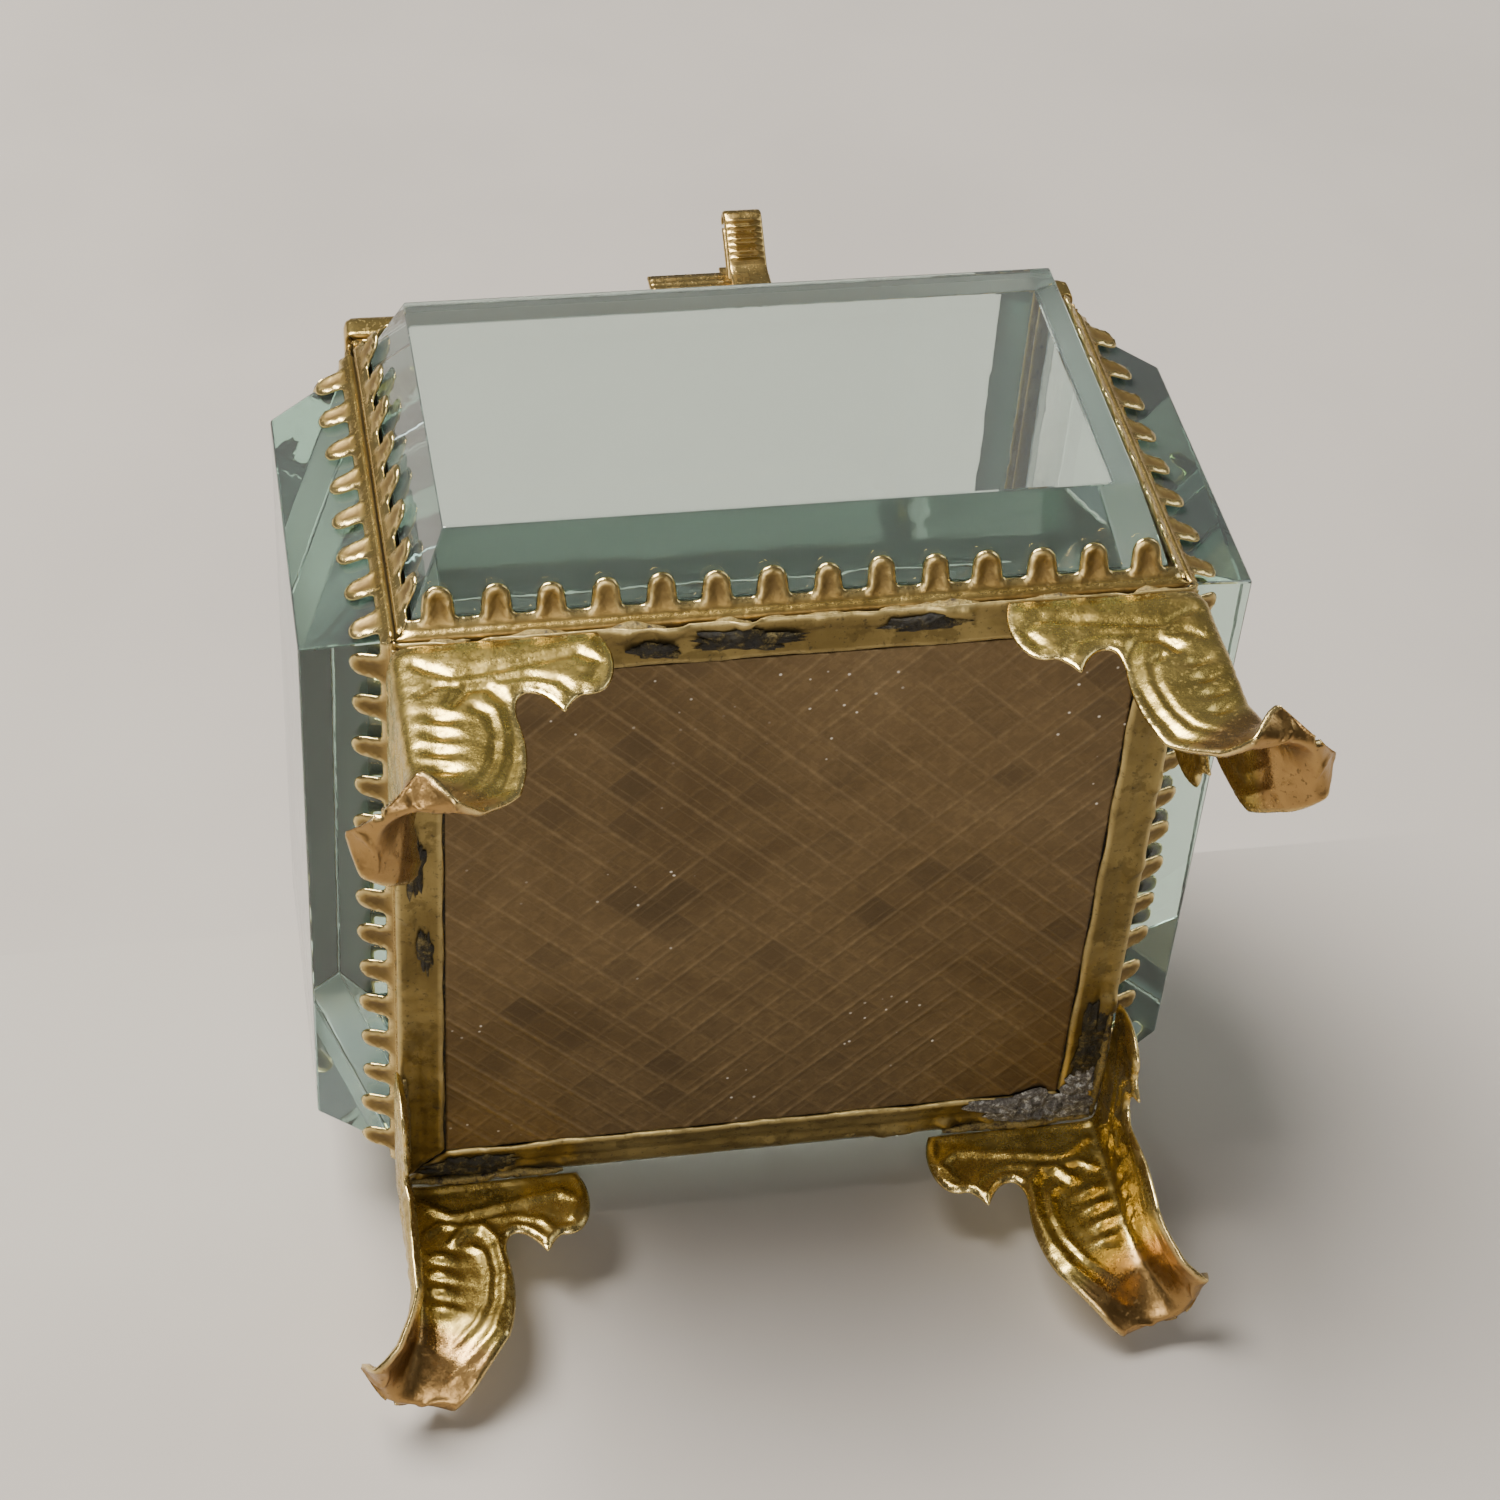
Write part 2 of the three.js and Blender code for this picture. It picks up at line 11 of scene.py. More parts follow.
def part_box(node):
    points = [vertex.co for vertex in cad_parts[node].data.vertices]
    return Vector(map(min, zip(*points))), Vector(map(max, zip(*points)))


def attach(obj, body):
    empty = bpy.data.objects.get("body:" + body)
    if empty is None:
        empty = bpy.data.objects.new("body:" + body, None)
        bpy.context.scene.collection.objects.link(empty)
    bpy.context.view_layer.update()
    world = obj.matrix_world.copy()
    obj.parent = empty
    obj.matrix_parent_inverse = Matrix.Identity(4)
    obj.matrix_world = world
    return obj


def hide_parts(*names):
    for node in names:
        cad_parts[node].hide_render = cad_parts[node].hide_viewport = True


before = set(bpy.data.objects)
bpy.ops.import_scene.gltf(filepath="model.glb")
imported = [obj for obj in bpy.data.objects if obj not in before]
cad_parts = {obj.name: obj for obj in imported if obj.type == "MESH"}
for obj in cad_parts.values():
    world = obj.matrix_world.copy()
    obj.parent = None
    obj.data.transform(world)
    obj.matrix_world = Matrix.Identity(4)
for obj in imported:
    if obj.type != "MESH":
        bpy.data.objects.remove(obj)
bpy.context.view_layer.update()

# All lengths below are millimetres. Meshes are written in metres at the very end.
MM = 0.001


def span(node):
    low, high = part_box(node)
    return low / MM, high / MM


# ---- places taken from the frame ----

RAIL_LOW, RAIL_HIGH = span("base_rail_front")
PLATE_LOW, PLATE_HIGH = span("base_plate")
HALF = RAIL_HIGH.x
BASE = RAIL_LOW.z
RAIL_WIDTH = RAIL_HIGH.y - RAIL_LOW.y
WALL_BOTTOM = span("strip_front_bottom")[0].z
WALL_TOP = span("strip_front_top")[1].z
WALL = WALL_TOP - WALL_BOTTOM
GLASS_LOW, GLASS_HIGH = span("glass_front")
PROUD = -HALF - GLASS_LOW.y
RIM_INSET = HALF - GLASS_HIGH.x
LID_BOTTOM = span("lid_strip_front")[0].z
LID_RIM = 2.0
LID_TOP = LID_BOTTOM + LID_RIM
LID_PROUD = span("glass_lid")[1].z - LID_TOP
PIN_LOW, PIN_HIGH = span("hinge_pin")
AXIS = (PIN_LOW + PIN_HIGH) / 2

GAP = 0.3
SHEET = 0.42
FLAT_INSET = 3.7
LID_FLAT_INSET = 4.4
VALLEY = 0.3
TOOTH_PITCH = 3.3
TOOTH_WIDTH = 1.7
TOOTH_LENGTH = 1.95
LIP = 1.3

X = np.array((1.0, 0.0, 0.0))
Y = np.array((0.0, 1.0, 0.0))
Z = np.array((0.0, 0.0, 1.0))
SIDES = {"front": 0, "right": 1, "back": 2, "left": 3}


def turned(vector, quarters):
    """A vector turned by quarter turns about Z."""
    c, s = ((1, 0), (0, 1), (-1, 0), (0, -1))[quarters % 4]
    v = np.asarray(vector, float)
    return np.stack([c * v[..., 0] - s * v[..., 1], s * v[..., 0] + c * v[..., 1], v[..., 2]], -1)


def smoothstep(low, high, value):
    t = np.clip((value - low) / (high - low), 0, 1)
    return t * t * (3 - 2 * t)


# ---- mesh helpers ----


def placed(name, data):
    """A new object in the scene."""
    obj = bpy.data.objects.new(name, data)
    bpy.context.scene.collection.objects.link(obj)
    return obj


def piece(name, points, faces, material, body, nodes=(), slot=None, smooth=True, sharp=None, shades=None):
    """A mesh object from points in millimetres, riding on a body. shades are named values, one per point."""
    mesh = bpy.data.meshes.new(name)
    mesh.from_pydata([tuple(p) for p in np.asarray(points) * MM], [], [tuple(f) for f in faces])
    mesh.validate()
    made = bmesh.new()
    made.from_mesh(mesh)
    bmesh.ops.recalc_face_normals(made, faces=made.faces)
    made.to_mesh(mesh)
    made.free()
    for shade, values in (shades or {}).items():
        layer = mesh.attributes.new(shade, "FLOAT", "POINT")
        layer.data.foreach_set("value", np.asarray(values, np.float32))
    mesh.materials.append(material)
    mesh.polygons.foreach_set("use_smooth", [smooth] * len(mesh.polygons))
    if sharp is not None:
        mesh.set_sharp_from_angle(angle=math.radians(sharp))
    obj = placed(name, mesh)
    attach(obj, body)
    if nodes:
        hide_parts(*nodes)
    return obj


def taken(made, unit=1.0):
    """The points and faces of a bmesh, which is then freed."""
    points = np.array([v.co for v in made.verts]) / unit
    faces = [[v.index for v in face.verts] for face in made.faces]
    made.free()
    return points, faces


def resample(points, step, closed=False):
    """Points along a polyline, no further apart than step. Its corners are kept."""
    points = [np.asarray(p, float) for p in points]
    if closed:
        points.append(points[0])
    out = []
    for a, b in zip(points, points[1:]):
        count = max(1, math.ceil(np.linalg.norm(b - a) / step))
        out += [a + (b - a) * k / count for k in range(count)]
    if not closed:
        out.append(points[-1])
    return np.array(out)


def arc(centre, radius, start, end, steps):
    """Points on an arc, angles in degrees."""
    angles = np.radians(np.linspace(start, end, steps + 1))
    return [(centre[0] + radius * math.cos(t), centre[1] + radius * math.sin(t)) for t in angles]


def bezier(a, control, b, steps):
    t = np.linspace(0, 1, steps + 1)[1:, None]
    a, control, b = (np.asarray(p, float) for p in (a, control, b))
    return list((1 - t) ** 2 * a + 2 * t * (1 - t) * control + t * t * b)


def ring_faces(rings, around, wrap=False, caps=False):
    """Quads between closed rings of points; wrap joins the last ring to the first, caps closes the ends."""
    total = rings * around
    faces = []
    for k in range(rings if wrap else rings - 1):
        for j in range(around):
            a, b = k * around + j, k * around + (j + 1) % around
            faces.append((a, b, (b + around) % total, (a + around) % total))
    if caps:
        faces += [tuple(range(around))[::-1], tuple(range(total - around, total))]
    return faces


def joined(parts):
    """The points and faces of several bodies as one."""
    points, faces = [], []
    for more, sides in parts:
        base = len(points)
        points += list(more)
        faces += [tuple(v + base for v in face) for face in sides]
    return points, faces


def distance_to(points, line, closed=False):
    """How far each 2-D point is from a polyline."""
    line = np.asarray(line, float)
    a = line
    b = np.roll(line, -1, axis=0)
    if not closed:
        a, b = a[:-1], b[:-1]
    best = np.full(len(points), np.inf)
    for p, q in zip(a, b):
        d = q - p
        t = np.clip(((points - p) @ d) / max(d @ d, 1e-12), 0, 1)
        best = np.minimum(best, np.linalg.norm(points - p - t[:, None] * d, axis=1))
    return best


def inside(points, outline):
    """Which 2-D points lie inside a closed outline."""
    x, y = points[:, 0], points[:, 1]
    result = np.zeros(len(points), bool)
    for (x0, y0), (x1, y1) in zip(outline, np.roll(outline, -1, axis=0)):
        if y0 == y1:
            continue
        crosses = ((y0 > y) != (y1 > y)) & (x < (x1 - x0) * (y - y0) / (y1 - y0) + x0)
        result ^= crosses
    return result


def rumple(points, size, seed):
    """Smooth noise from -1 to 1 at 3-D points, with bumps of about that size."""
    shift = Vector((seed * 7.3, seed * 3.1, seed * 5.7))
    return np.array([noise.noise(Vector(p) / size + shift) for p in points])


def bell(value, width):
    """1 where the value is 0, falling away over about that width."""
    return np.exp(-((value / width) ** 2))


def stamped(outline, spacing, place, relief, thickness, edge=0.1):
    """A stamped sheet over a flat outline: the points and faces of a closed thin body, with their shades.

    place turns flat points into places and normals, and relief gives the height of the stamping from the flat
    points and their distance to the outline. The wear shade is 1 along the cut edge and falls away from it;
    it marks rubbed edges, which the brass also brightens as a painted highlight.
    """
    outline = np.asarray(outline, float)
    low, high = outline.min(0), outline.max(0)
    rows = np.arange(low[1], high[1], spacing * 0.87)
    columns = np.arange(low[0], high[0], spacing)
    grid = np.array([(x + (k % 2) * spacing / 2, y) for k, y in enumerate(rows) for x in columns])
    grid = grid[inside(grid, outline)]
    grid = grid[distance_to(grid, outline, closed=True) > spacing * 0.45]
    count = len(outline)
    flat = [Vector(p) for p in np.vstack([outline, grid])]
    ring = [(k, (k + 1) % count) for k in range(count)]
    verts, _, faces, *_ = delaunay_2d_cdt(flat, ring, [list(range(count))], 1, 1e-5)
    verts = np.array([tuple(v) for v in verts])
    depth = distance_to(verts, outline, closed=True)
    where, normal = place(verts)
    height = relief(verts, depth)
    fall = edge * np.clip(1 - depth / (2.2 * edge), 0, 1) ** 2
    front = where + normal * (height - fall)[:, None]
    back = where + normal * (height - thickness + fall)[:, None]
    uses = dict.fromkeys(pair for face in faces for pair in zip(face, [*face[1:], face[0]]))
    rim = [pair for pair in uses if pair[::-1] not in uses]
    after = dict(rim)
    before = {b: a for a, b in rim}
    total = len(verts)
    middle = {}
    points = [*front, *back]
    for v in after:
        along = verts[after[v]] - verts[before[v]]
        away = np.array((along[1], -along[0])) / max(np.linalg.norm(along), 1e-9)
        moved, _ = place(verts[v : v + 1] + away[None, :] * 0.05)
        out = moved[0] - where[v]
        out = out / max(np.linalg.norm(out), 1e-9)
        middle[v] = len(points)
        points.append(where[v] + normal[v] * (height[v] - thickness / 2) + out * edge * 0.8)
    solid = [tuple(face) for face in faces]
    solid += [tuple(v + total for v in reversed(face)) for face in faces]
    for a, b in rim:
        solid.append((b, a, middle[a], middle[b]))
        solid.append((middle[b], middle[a], a + total, b + total))
    wear_and_highlight = bell(depth, 0.2)
    wear_and_highlight = np.concatenate([wear_and_highlight, wear_and_highlight, np.ones(len(middle))])
    flat_again = np.vstack([verts, verts, verts[list(middle)]])
    return np.array(points), solid, wear_and_highlight, flat_again


# ---- materials ----


class Recipe:
    """A node material whose coordinates are millimetres in the piece's own frame."""

    def __init__(self, name):
        self.material = bpy.data.materials.new(name)
        self.material.use_nodes = True
        self.tree = self.material.node_tree
        self.shader = self.tree.nodes["Principled BSDF"]
        self.output = self.tree.nodes["Material Output"]
        coords = self.node("ShaderNodeTexCoord")
        self.mm = self.math_vector("SCALE", coords.outputs["Object"], scale=1 / MM)

    def link(self, socket, value):
        if isinstance(value, bpy.types.NodeSocket):
            self.tree.links.new(value, socket)
        else:
            socket.default_value = value

    def node(self, kind, settings=(), **inputs):
        made = self.tree.nodes.new(kind)
        for key, value in dict(settings).items():
            setattr(made, key, value)
        for key, value in inputs.items():
            self.link(made.inputs[key.replace("_", " ")], value)
        return made

    def math_vector(self, operation, a, b=None, scale=None):
        made = self.node("ShaderNodeVectorMath", {"operation": operation})
        self.link(made.inputs[0], a)
        if b is not None:
            self.link(made.inputs[1], b)
        if scale is not None:
            made.inputs["Scale"].default_value = scale
        return made.outputs[0]

    def math(self, operation, a, b=0.0, c=0.0, clamp=False):
        made = self.node("ShaderNodeMath", {"operation": operation, "use_clamp": clamp})
        for socket, value in zip(made.inputs, (a, b, c)):
            self.link(socket, value)
        return made.outputs[0]

    def times(self, a, b, clamp=False):
        return self.math("MULTIPLY", a, b, clamp=clamp)

    def scaled(self, a, factor, offset):
        return self.math("MULTIPLY_ADD", a, factor, offset)

    def larger(self, a, b):
        return self.math("MAXIMUM", a, b)

    def noise(self, scale, detail=3.0, roughness=0.55, distortion=0.0, at=None):
        sockets = {"Scale": scale, "Detail": detail, "Roughness": roughness, "Distortion": distortion}
        return self.node("ShaderNodeTexNoise", Vector=at or self.mm, **sockets).outputs["Fac"]

    def ramp(self, value, *stops):
        """A colour or grey ramp with (place, colour) stops."""
        made = self.tree.nodes.new("ShaderNodeValToRGB")
        made.color_ramp.interpolation = "EASE"
        while len(made.color_ramp.elements) < len(stops):
            made.color_ramp.elements.new(0.5)
        for element, (at, colour) in zip(made.color_ramp.elements, stops):
            element.position = at
            element.color = (*colour, 1) if isinstance(colour, tuple) else (colour, colour, colour, 1)
        self.link(made.inputs["Fac"], value)
        return made.outputs["Color"]

    def rise(self, value, low, high):
        """0 below low and 1 above high, as a ramp."""
        return self.ramp(value, (low, 0.0), (high, 1.0))

    def mix(self, factor, a, b):
        made = self.node("ShaderNodeMix", {"data_type": "RGBA"})
        self.link(made.inputs[0], factor)
        self.link(made.inputs[6], a if isinstance(a, bpy.types.NodeSocket) else (*a, 1))
        self.link(made.inputs[7], b if isinstance(b, bpy.types.NodeSocket) else (*b, 1))
        return made.outputs[2]

    def fade(self, value, low, high):
        """0 below low and 1 above high."""
        smooth = {"interpolation_type": "SMOOTHSTEP"}
        made = self.node("ShaderNodeMapRange", smooth, Value=value, From_Min=low, From_Max=high)
        return made.outputs["Result"]

    def shade(self, name):
        """A value stored on the piece's points."""
        return self.node("ShaderNodeAttribute", {"attribute_name": name}).outputs["Fac"]

    def facing_down(self):
        """1 where the surface looks at the ground, in the piece's own frame."""
        normal = self.node("ShaderNodeTexCoord").outputs["Normal"]
        down = self.node("ShaderNodeSeparateXYZ", Vector=normal).outputs["Z"]
        return self.fade(self.times(down, -1.0), 0.25, 0.85)

    def corner_shade(self, reach):
        """1 in tight corners, 0 in the open, by ambient occlusion; it masks painted shade."""
        made = self.node("ShaderNodeAmbientOcclusion", {"samples": 8}, Distance=reach * MM)
        return self.math("SUBTRACT", 1.0, made.outputs["AO"], clamp=True)

    def bump(self, height, strength, distance, normal=None):
        made = self.node("ShaderNodeBump", Strength=strength, Distance=distance * MM, Height=height)
        if normal is not None:
            self.link(made.inputs["Normal"], normal)
        return made.outputs["Normal"]

    def finish(self, **sockets):
        for key, value in sockets.items():
            socket = self.shader.inputs[key.replace("_", " ")]
            if isinstance(value, tuple) and len(value) == 3:
                value = (*value, 1)
            self.link(socket, value)
        return self.material


# Colour of rubbed edges, made brighter still as a painted highlight along the rims.
WORN_EDGE_HIGHLIGHT = (0.90, 0.71, 0.31)


def brass(name, light, deep, patina, dirt_and_shade_colour, roughness=0.21, under=0.75, patchy=0.5, toe_dark_reflection=None):
    """Old gilt brass: cloudy gilding, patina in patches, painted shade on faces that look down, dark specks,
    painted shade in corners, rubbed edges brightened by a painted highlight.
    """
    r = Recipe(name)
    clouds = r.noise(0.16, detail=4, distortion=0.6)
    colour = r.mix(r.rise(clouds, 0.35, 0.7), light, deep)
    spots = r.noise(0.55, detail=6, roughness=0.65)
    worn = r.times(r.rise(spots, patchy, patchy + 0.2), 0.75)
    # Painted shade: faces that look down take the patina colour, so undersides come out darker.
    underside_shade = r.times(r.facing_down(), r.scaled(clouds, 0.5, under - 0.2))
    worn = r.larger(worn, underside_shade)
    dished = r.times(r.shade("dish"), r.scaled(spots, 0.7, 0.5), clamp=True)
    worn = r.larger(worn, dished)
    colour = r.mix(worn, colour, patina)
    # Painted dark reflection: the toes take a darker coppery tone for the dark they face.
    if toe_dark_reflection is not None:
        colour = r.mix(r.times(r.shade("toe"), 0.85), colour, toe_dark_reflection)
    # Rubbed edges, brightened as a painted highlight along the rims.
    edge = r.times(r.shade("wear_and_highlight"), r.scaled(spots, -0.5, 1.05), clamp=True)
    colour = r.mix(edge, colour, WORN_EDGE_HIGHLIGHT)
    # Painted shade: ambient occlusion darkens tight corners; below it joins dark specks and the dished faces.
    corner = r.rise(r.corner_shade(0.9), 0.3, 0.85)
    specks = r.rise(r.noise(3.2, detail=4), 0.60, 0.68)
    dirt_and_shade_mask = r.larger(corner, r.times(specks, 0.5))
    dirt_and_shade_mask = r.larger(dirt_and_shade_mask, r.times(r.shade("dish"), 0.4))
    dirt_and_shade_mask = r.times(dirt_and_shade_mask, r.math("SUBTRACT", 1.0, r.times(edge, 0.8)))
    colour = r.mix(dirt_and_shade_mask, colour, dirt_and_shade_colour)
    fine = r.noise(6.0, detail=5, roughness=0.7)
    rough = r.scaled(fine, 0.2, roughness - 0.08)
    rough = r.math("ADD", rough, r.times(worn, 0.2))
    rough = r.math("ADD", rough, r.times(edge, -0.1))
    rough = r.math("ADD", rough, r.times(dirt_and_shade_mask, 0.3), clamp=True)
    metal = r.scaled(dirt_and_shade_mask, -0.55, 1.0)
    normal = r.bump(r.noise(1.1, detail=5), 0.5, 0.12)
    normal = r.bump(fine, 0.35, 0.03, normal)
    return r.finish(Base_Color=colour, Roughness=rough, Metallic=metal, Normal=normal)


def plate_glass(name, ground):
    """Old plate glass, green in its depth, with faint dust and handling marks; ground is its dullness."""
    r = Recipe(name)
    smudge = r.rise(r.noise(0.13, detail=6, distortion=1.2), 0.55, 0.8)
    dust = r.rise(r.noise(5.0, detail=3), 0.66, 0.72)
    rough = r.scaled(smudge, 0.035, 0.004 + ground)
    rough = r.math("ADD", rough, r.times(dust, 0.12))
    colour = r.mix(r.times(smudge, 0.5), (0.985, 1.0, 0.992), (0.93, 0.975, 0.96))
    normal = r.bump(r.noise(0.35, detail=2), 0.12, 0.08)
    glass = r.finish(Base_Color=colour, Roughness=rough, Normal=normal)
    r.shader.inputs["Transmission Weight"].default_value = 0.94 if ground else 0.97
    r.shader.inputs["IOR"].default_value = 1.5
    volume = r.tree.nodes.new("ShaderNodeVolumeAbsorption")
    volume.inputs["Color"].default_value = (0.50, 0.80, 0.68, 1)
    volume.inputs["Density"].default_value = 34.0
    r.tree.links.new(volume.outputs[0], r.output.inputs["Volume"])
    return glass


PATTERN_PITCH = 2.35
LINE_WIDTH = 0.26


def patterned_bronze():
    """Dull bronze-coloured plate, embossed with a lattice; some diamonds have darkened, and painted shade
    darkens its tight corners.
    """
    r = Recipe("patterned_plate")
    x, y, _ = r.node("ShaderNodeSeparateXYZ", Vector=r.mm).outputs
    total = r.math("ADD", x, y)
    differ = r.math("SUBTRACT", x, y)
    cells = []
    lines = None
    sweep = r.rise(r.noise(0.045, detail=2), 0.42, 0.58)
    weights = (r.scaled(sweep, 0.75, 0.25), r.scaled(sweep, -0.8, 1.0))
    for value, weight in zip((total, differ), weights):
        across = r.math("DIVIDE", value, PATTERN_PITCH * math.sqrt(2))
        cells.append(r.math("FLOOR", across))
        near = r.math("ABSOLUTE", r.math("SUBTRACT", r.math("FRACT", across), 0.5))
        line = r.fade(near, 0.5 - LINE_WIDTH / PATTERN_PITCH, 0.5)
        half = r.math("ABSOLUTE", r.math("SUBTRACT", near, 0.25))
        faint = r.times(r.fade(half, 0.05, 0.0), 0.45)
        line = r.times(r.larger(line, faint), weight)
        lines = line if lines is None else r.larger(lines, line)
    cell = r.node("ShaderNodeCombineXYZ", X=cells[0], Y=cells[1])
    chance = r.node("ShaderNodeTexWhiteNoise", Vector=cell.outputs[0]).outputs["Value"]
    clouds = r.noise(0.055, detail=5, distortion=0.8)
    tones = (0.3, (0.115, 0.073, 0.030)), (0.55, (0.185, 0.124, 0.056)), (0.8, (0.25, 0.175, 0.086))
    colour = r.ramp(clouds, *tones)
    dark = r.times(r.rise(chance, 0.80, 0.9), r.ramp(clouds, (0.35, 0.9), (0.7, 0.1)))
    colour = r.mix(r.times(dark, 0.45), colour, (0.05, 0.034, 0.018))
    colour = r.mix(r.times(lines, 0.3), colour, (0.40, 0.29, 0.15))
    mottle = r.noise(1.6, detail=6, roughness=0.7)
    colour = r.mix(r.ramp(mottle, (0.42, 0.35), (0.62, 0.0)), colour, (0.07, 0.045, 0.02))
    speck = r.node("ShaderNodeTexVoronoi", Vector=r.mm, Scale=0.85).outputs["Distance"]
    patch = r.rise(r.noise(0.09, detail=2), 0.5, 0.62)
    white = r.times(r.ramp(speck, (0.05, 1.0), (0.11, 0.0)), patch)
    colour = r.mix(white, colour, (0.78, 0.72, 0.62))
    # Painted shade: the colour falls near black in tight corners, by ambient occlusion.
    corner = r.rise(r.corner_shade(1.6), 0.25, 0.8)
    colour = r.mix(corner, colour, (0.02, 0.013, 0.007))
    rough = r.scaled(mottle, 0.3, 0.34)
    metal = r.math("SUBTRACT", 0.72, r.times(white, 0.7), clamp=True)
    normal = r.bump(lines, 0.6, 0.05)
    normal = r.bump(r.noise(4.5, detail=6, roughness=0.75), 0.5, 0.05, normal)
    return r.finish(Base_Color=colour, Roughness=rough, Metallic=metal, Normal=normal)


def old_solder(name, pale, dark, gilt, scale=1.0):
    """Crusty soft solder: grey-white crust, black flux and traces of gilding."""
    r = Recipe(name)
    crust = r.noise(1.3 * scale, detail=8, roughness=0.75)
    colour = r.ramp(crust, (0.36, dark), (0.5, gilt), (0.62, pale))
    fine = r.noise(7.0, detail=6, roughness=0.8)
    colour = r.mix(r.ramp(fine, (0.35, 0.7), (0.6, 0.0)), colour, dark)
    rough = r.scaled(crust, 0.5, 0.22)
    metal = r.ramp(crust, (0.4, 0.3), (0.6, 0.85))
    normal = r.bump(crust, 0.7, 0.25)
    normal = r.bump(fine, 0.6, 0.06, normal)
    return r.finish(Base_Color=colour, Roughness=rough, Metallic=metal, Normal=normal)


def brushed_steel():
    r = Recipe("pin_steel")
    stretched = r.math_vector("MULTIPLY", r.mm, (0.4, 5.0, 5.0))
    lines = r.noise(1.0, detail=6, at=stretched)
    rust = r.ramp(r.noise(0.7, detail=5), (0.55, 0.0), (0.7, 0.8))
    colour = r.mix(rust, (0.42, 0.39, 0.34), (0.16, 0.09, 0.045))
    rough = r.scaled(lines, 0.25, 0.24)
    return r.finish(Base_Color=colour, Roughness=rough, Metallic=0.95, Normal=r.bump(lines, 0.4, 0.03))


GILT = brass("gilt_brass", (0.68, 0.495, 0.165), (0.50, 0.335, 0.09), (0.19, 0.12, 0.04), (0.04, 0.026, 0.01))
RAIL_BRASS = brass(
    "rail_brass", (0.46, 0.35, 0.13), (0.29, 0.21, 0.07), (0.085, 0.06, 0.022), (0.02, 0.015, 0.008),
    roughness=0.34, under=0.5, patchy=0.42,
)
# Foot brass; its toe colour is a painted dark reflection.
FOOT = brass(
    "foot_brass", (0.64, 0.475, 0.14), (0.46, 0.33, 0.085), (0.26, 0.185, 0.06), (0.06, 0.042, 0.015),
    roughness=0.25, under=0.3, toe_dark_reflection=(0.38, 0.22, 0.085),
)
CATCH = brass("catch_brass", (0.62, 0.45, 0.17), (0.46, 0.31, 0.10), (0.20, 0.13, 0.045), (0.03, 0.02, 0.008))
GLASS = plate_glass("bevelled_glass", 0.0)
GROUND_GLASS = plate_glass("ground_glass", 0.35)
BRONZE = patterned_bronze()
STEEL = brushed_steel()
SOLDER = old_solder("seam_solder", (0.40, 0.33, 0.15), (0.022, 0.016, 0.010), (0.34, 0.25, 0.08))
CRUST = old_solder("grey_crust", (0.74, 0.76, 0.77), (0.03, 0.028, 0.026), (0.20, 0.19, 0.18), 1.6)
FLUX = old_solder("black_flux", (0.24, 0.19, 0.08), (0.008, 0.007, 0.006), (0.035, 0.03, 0.018), 0.8)
TARNISH = old_solder("purple_tarnish", (0.55, 0.44, 0.22), (0.09, 0.05, 0.055), (0.24, 0.15, 0.15), 0.8)


# ---- glass ----

ARRIS = 0.14  # width of the ground-off edges


def is_mitre(face, thin):
    """The slanting ends behind the frame, which look back into the box."""
    out = 1 if face.center[thin] > 0 else -1
    return thin < 2 and -0.9 < face.normal[thin] * out < -0.5


def add_glass(node, body):
    """The panel's own shape from the frame, with its arrises ground off."""
    made = bmesh.new()
    made.from_mesh(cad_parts[node].data)
    bmesh.ops.remove_doubles(made, verts=made.verts, dist=1e-7)
    bmesh.ops.dissolve_limit(made, angle_limit=math.radians(2), verts=made.verts, edges=made.edges)
    bmesh.ops.bevel(made, geom=made.edges[:], offset=ARRIS * MM, segments=2, profile=0.5, affect="EDGES")
    points, faces = taken(made, MM)
    panel = piece(f"{node}_panel", points, faces, GLASS, body, [node], "bevelled_glass", smooth=False)
    panel.data.materials.append(GROUND_GLASS)
    low, high = points.min(0), points.max(0)
    thin = int(np.argmin(high - low)) if node == "glass_lid" else (1 if abs(low[1] + high[1]) > 1 else 0)
    for face in panel.data.polygons:
        if abs(face.normal[thin]) < 0.2 or is_mitre(face, thin):
            face.material_index = 1
    return panel


# ---- gallery strips ----


class Profile:
    """The outer line of a strip's section, as (in from the frame's edge, out of the face), by its length."""

    def __init__(self, points, flat_inset, proud):
        slope = np.array((flat_inset - RIM_INSET, proud))
        self.slope = slope / np.linalg.norm(slope)
        off = np.array((-self.slope[1], self.slope[0])) * (GAP + SHEET)
        start = np.array((RIM_INSET, 0.0)) + off
        ends = [start, start + self.slope * (VALLEY + TOOTH_LENGTH + 1)]
        line = np.array([*points, *ends])
        for _ in range(2):
            cut = [line[0]]
            for a, b in zip(line, line[1:]):
                cut += [a + (b - a) * 0.25, a + (b - a) * 0.75]
            line = np.array([*cut, line[-1]])
        self.line = line
        steps = np.linalg.norm(np.diff(line, axis=0), axis=1)
        self.length = np.concatenate([[0], np.cumsum(steps)])
        self.root = float(self.length[-1] - TOOTH_LENGTH - VALLEY - 1)

    def at(self, p):
        e = np.interp(p, self.length, self.line[:, 0])
        o = np.interp(p, self.length, self.line[:, 1])
        return np.stack([e, o], -1)

    def normal(self, p):
        d = self.at(p + 0.06) - self.at(p - 0.06)
        d /= np.maximum(np.linalg.norm(d, axis=1), 1e-9)[:, None]
        return np.stack([-d[:, 1], d[:, 0]], -1)


